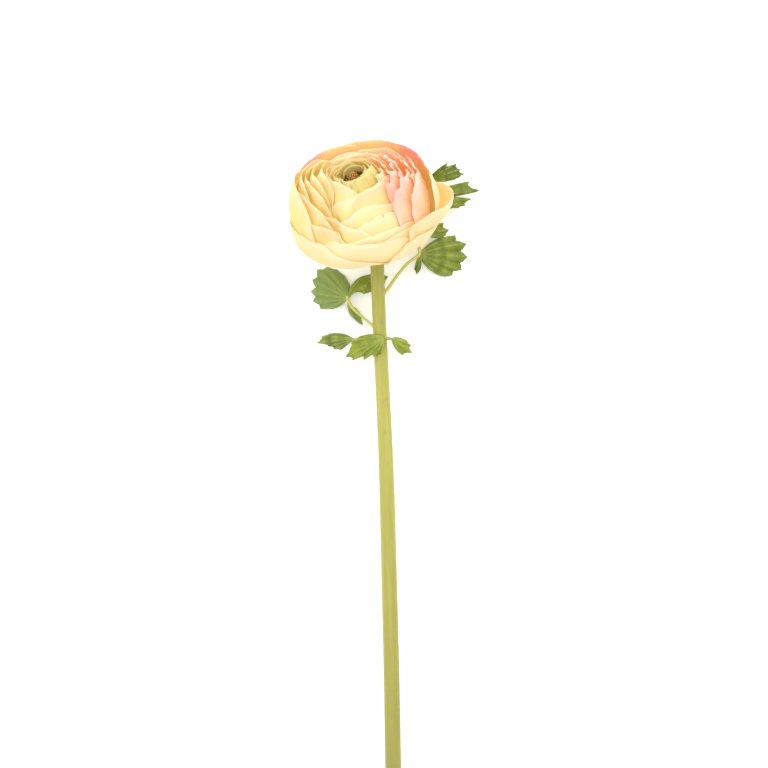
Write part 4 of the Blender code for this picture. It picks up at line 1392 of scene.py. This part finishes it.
class Foliage:
    """The three leaves."""

    def leaves(self) -> list[Leaf]:
        """The right, left and lower leaf.

        Returns:
            The leaves.
        """
        right = Leaf("right_leaf", "leaf_right", stalks=[
            [(-0.6, 123.6, 10.2, 1.3), (2.0, 126.0, 10.5, 0.9), (7.0, 133.0, 10.5, 0.8),
             (12.5, 139.5, 10.0, 0.8), (18.2, 143.9, 9.0, 0.9), (18.2, 149.0, 7.2, 0.85),
             (18.6, 157.0, 5.2, 0.8), (19.8, 166.0, 4.8, 0.8), (21.6, 174.5, 5.7, 0.8),
             (23.4, 182.5, 6.5, 0.7)],
        ], blades=[
            Leaflet((19.0, 144.2, 8.8), -6.0, 25.5, 68.0,
                    ((56.0, 0.56, 0.08), (43.0, 0.82, 0.06), (24.0, 0.97, 0.12), (4.0, 0.97, 0.14),
                     (-17.0, 0.9, 0.1), (-32.0, 0.78, 0.12), (-48.0, 0.62, 0.0)),
                    rise=-8.6, crease=0.25, teeth=3, bite=0.065, tone=0.55),
            Leaflet((19.2, 144.0, 8.8), -102.0, 10.5, 26.0,
                    ((0.0, 1.0, 0.0), (-14.0, 0.8, 0.1), (15.0, 0.7, 0.1)),
                    rise=-4.0, arch=1.5, tone=0.35, columns=48),
            Leaflet((18.4, 155.2, 5.6), 5.0, 15.5, 34.0,
                    ((22.0, 0.9, 0.1), (0.0, 1.0, 0.14), (-22.0, 0.78, 0.0)),
                    rise=-0.6, tone=0.7, columns=56),
            Leaflet((21.2, 172.6, 5.6), 0.0, 28.7, 34.0,
                    ((26.0, 0.85, 0.05), (10.0, 1.0, 0.1), (-1.0, 0.84, 0.45), (-12.0, 0.74, 0.06),
                     (-26.0, 0.5, 0.0)),
                    rise=2.0, tone=0.3),
            Leaflet((23.4, 182.0, 6.6), 20.0, 18.4, 36.0,
                    ((28.0, 0.7, 0.06), (12.0, 0.88, 0.22), (-2.0, 0.92, 0.06), (-13.0, 1.0, 0.08),
                     (-24.0, 0.7, 0.0)),
                    rise=3.0, tone=0.3),
        ])
        left = Leaf("left_leaf", "leaf_left", stalks=[
            [(-4.0, 106.6, 10.4, 1.2), (-6.3, 108.6, 10.5, 0.75), (-11.0, 112.5, 10.0, 0.7),
             (-15.0, 116.0, 9.0, 0.8), (-17.8, 120.5, 7.5, 0.9), (-18.4, 123.0, 7.0, 0.8)],
        ], blades=[
            Leaflet((-18.4, 121.8, 7.2), 155.0, 22.3, 88.0,
                    ((-39.0, 0.88, 0.06), (-23.0, 0.98, 0.1), (-4.0, 0.92, 0.14), (17.0, 0.86, 0.12),
                     (36.0, 0.8, 0.12), (56.0, 0.68, 0.12), (74.0, 0.42, 0.0)),
                    rise=-6.3, arch=1.5, teeth=3, bite=0.065, under=True),
            Leaflet((-17.8, 122.0, 7.2), 68.0, 23.5, 18.0,
                    ((10.0, 0.8, 0.05), (0.0, 1.0, 0.05), (-14.0, 0.75, 0.0)),
                    rise=-2.5, arch=-0.6, bend=-40.0, tone=0.8, columns=56),
            Leaflet((-17.5, 119.6, 8.0), -80.0, 14.0, 27.0,
                    ((-14.0, 0.66, 0.14), (0.0, 1.0, 0.14), (14.0, 0.72, 0.0)),
                    rise=-6.0, bend=22.0, under=True, columns=56),
        ])
        lower = Leaf("lower_leaf", "leaf_lower", stalks=[
            [(3.4, 100.8, 14.9, 0.8), (1.0, 101.4, 15.0, 0.8), (-3.0, 101.2, 14.8, 0.8),
             (-9.0, 100.5, 14.4, 0.7), (-16.5, 100.8, 13.3, 0.6)],
            [(2.0, 101.2, 15.0, 0.7), (4.5, 101.0, 14.4, 0.6), (7.0, 100.6, 13.0, 0.5)],
        ], blades=[
            Leaflet((-15.5, 100.9, 13.8), 190.0, 18.8, 44.0,
                    ((-17.0, 0.86, 0.06), (-5.0, 1.0, 0.12), (8.0, 0.68, 0.08), (22.0, 0.58, 0.1),
                     (44.0, 0.45, 0.0)),
                    rise=-6.0, arch=1.0, tone=0.45),
            Leaflet((0.4, 101.6, 16.2), 215.0, 22.0, 62.0,
                    ((-46.0, 0.57, 0.05), (-34.0, 0.76, 0.08), (-9.0, 1.0, 0.1), (1.0, 0.92, 0.22),
                     (16.0, 0.7, 0.2), (34.0, 0.5, 0.08), (52.0, 0.4, 0.0)),
                    rise=-2.6, arch=1.0, roll=1.6, tone=0.75),
            Leaflet((4.6, 101.2, 14.2), -34.0, 12.6, 50.0,
                    ((32.0, 0.62, 0.06), (17.0, 0.84, 0.1), (-2.0, 1.0, 0.14), (-30.0, 0.8, 0.1),
                     (-46.0, 0.45, 0.0)),
                    rise=-5.0, arch=1.0, tone=0.95),
        ])
        return [right, left, lower]

    def build(self) -> None:
        """Model and dress the leaves."""
        tissue = LeafTissue().make()
        stalk = StalkSkin("leaf_stalk_yellow_green", "#ddd678", "#b5b354", "#c0b070").make()
        green = StalkSkin("leaf_stalk_green", "#aebb60", "#8c9a40", "#a59c5c").make()
        for leaf in self.leaves():
            leaf.build(tissue, green if leaf.name == "lower_leaf" else stalk)


# ------------------------------------------------------------------ studio

@dataclass(frozen=True)
class SoftBox:
    """A square soft light, in metres and watts."""

    place: tuple[float, float, float]
    size: float
    power: float
    aim: tuple[float, float, float] = (0.0, 0.09, 0.03)

    def build(self, name: str) -> None:
        """Hang the light.

        Args:
            name: The light's name.
        """
        lamp = bpy.data.lights.new(name, "AREA")
        lamp.shape, lamp.size, lamp.energy = "SQUARE", self.size, self.power
        obj = bpy.data.objects.new(name, lamp)
        obj.location = self.place
        obj.rotation_mode = "QUATERNION"
        obj.rotation_quaternion = (Vector(self.aim) - Vector(self.place)).to_track_quat("-Z", "Y")
        bpy.context.scene.collection.objects.link(obj)


@dataclass
class Studio:
    """Paper sweep, soft light and the camera over the flower, in metres."""

    camera_place: tuple[float, float, float] = (0.0005, 0.078, 1.283)
    lens: float = 117.2
    sensor: float = 36.0
    sky: float = 1.14         # brightness of the room
    bounces: int = 14
    paper_reach: float = 3.0  # half the width of the paper
    boxes: tuple[SoftBox, ...] = (
        SoftBox((0.25, 0.75, 1.1), 0.9, 4.0),
        SoftBox((-0.7, 0.2, 0.9), 0.8, 2.0),
    )

    def build(self) -> None:
        """Lay the paper, hang the lights and place the camera."""
        scene = bpy.context.scene
        mesh = bpy.data.meshes.new("paper_sweep")
        reach = self.paper_reach
        signs = ((-1.0, -1.0), (1.0, -1.0), (1.0, 1.0), (-1.0, 1.0))
        mesh.from_pydata([(x * reach, y * reach, 0.0) for x, y in signs], [], [(0, 1, 2, 3)])
        mesh.materials.append(PaperSweep().make())
        paper = bpy.data.objects.new("paper_sweep", mesh)
        scene.collection.objects.link(paper)
        world = bpy.data.worlds.new("soft_room")
        world.use_nodes = True
        room = world.node_tree
        # The room is a little brighter on the side of the flower's face.
        way = add_node(room, "SeparateXYZ", links={0: add_node(room, "TexCoord").outputs["Generated"]})
        sky = add_node(room, "MapRange", links={"Value": way.outputs["Y"], "From Min": -0.8, "From Max": 0.8,
                                                "To Min": self.sky * 0.72, "To Max": self.sky * 1.28})
        room.nodes["Background"].inputs["Color"].default_value = (1.0, 1.0, 1.0, 1.0)
        room.links.new(sky.outputs[0], room.nodes["Background"].inputs["Strength"])
        scene.world = world
        for i, box in enumerate(self.boxes, 1):
            box.build(f"soft_box_{i}")
        lens = bpy.data.cameras.new("camera")
        lens.lens, lens.sensor_width = self.lens, self.sensor
        camera = bpy.data.objects.new("camera", lens)
        camera.location = self.camera_place
        scene.collection.objects.link(camera)
        scene.camera = camera
        scene.view_settings.view_transform = "Standard"
        # Light goes to and fro between the petals many times, which is what makes them glow.
        scene.cycles.max_bounces = scene.cycles.diffuse_bounces = self.bounces
        scene.cycles.transmission_bounces = self.bounces


def main() -> None:
    """Build the flower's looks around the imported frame."""
    logging.basicConfig(level=logging.INFO, format="%(message)s")
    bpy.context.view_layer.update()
    for assembly in (Studio(), Corolla(), Eye(), Calyx(), Stem(), Foliage()):
        assembly.build()
        log.info("%s is built", type(assembly).__name__)
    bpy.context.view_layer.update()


if __name__ == "__main__":
    main()
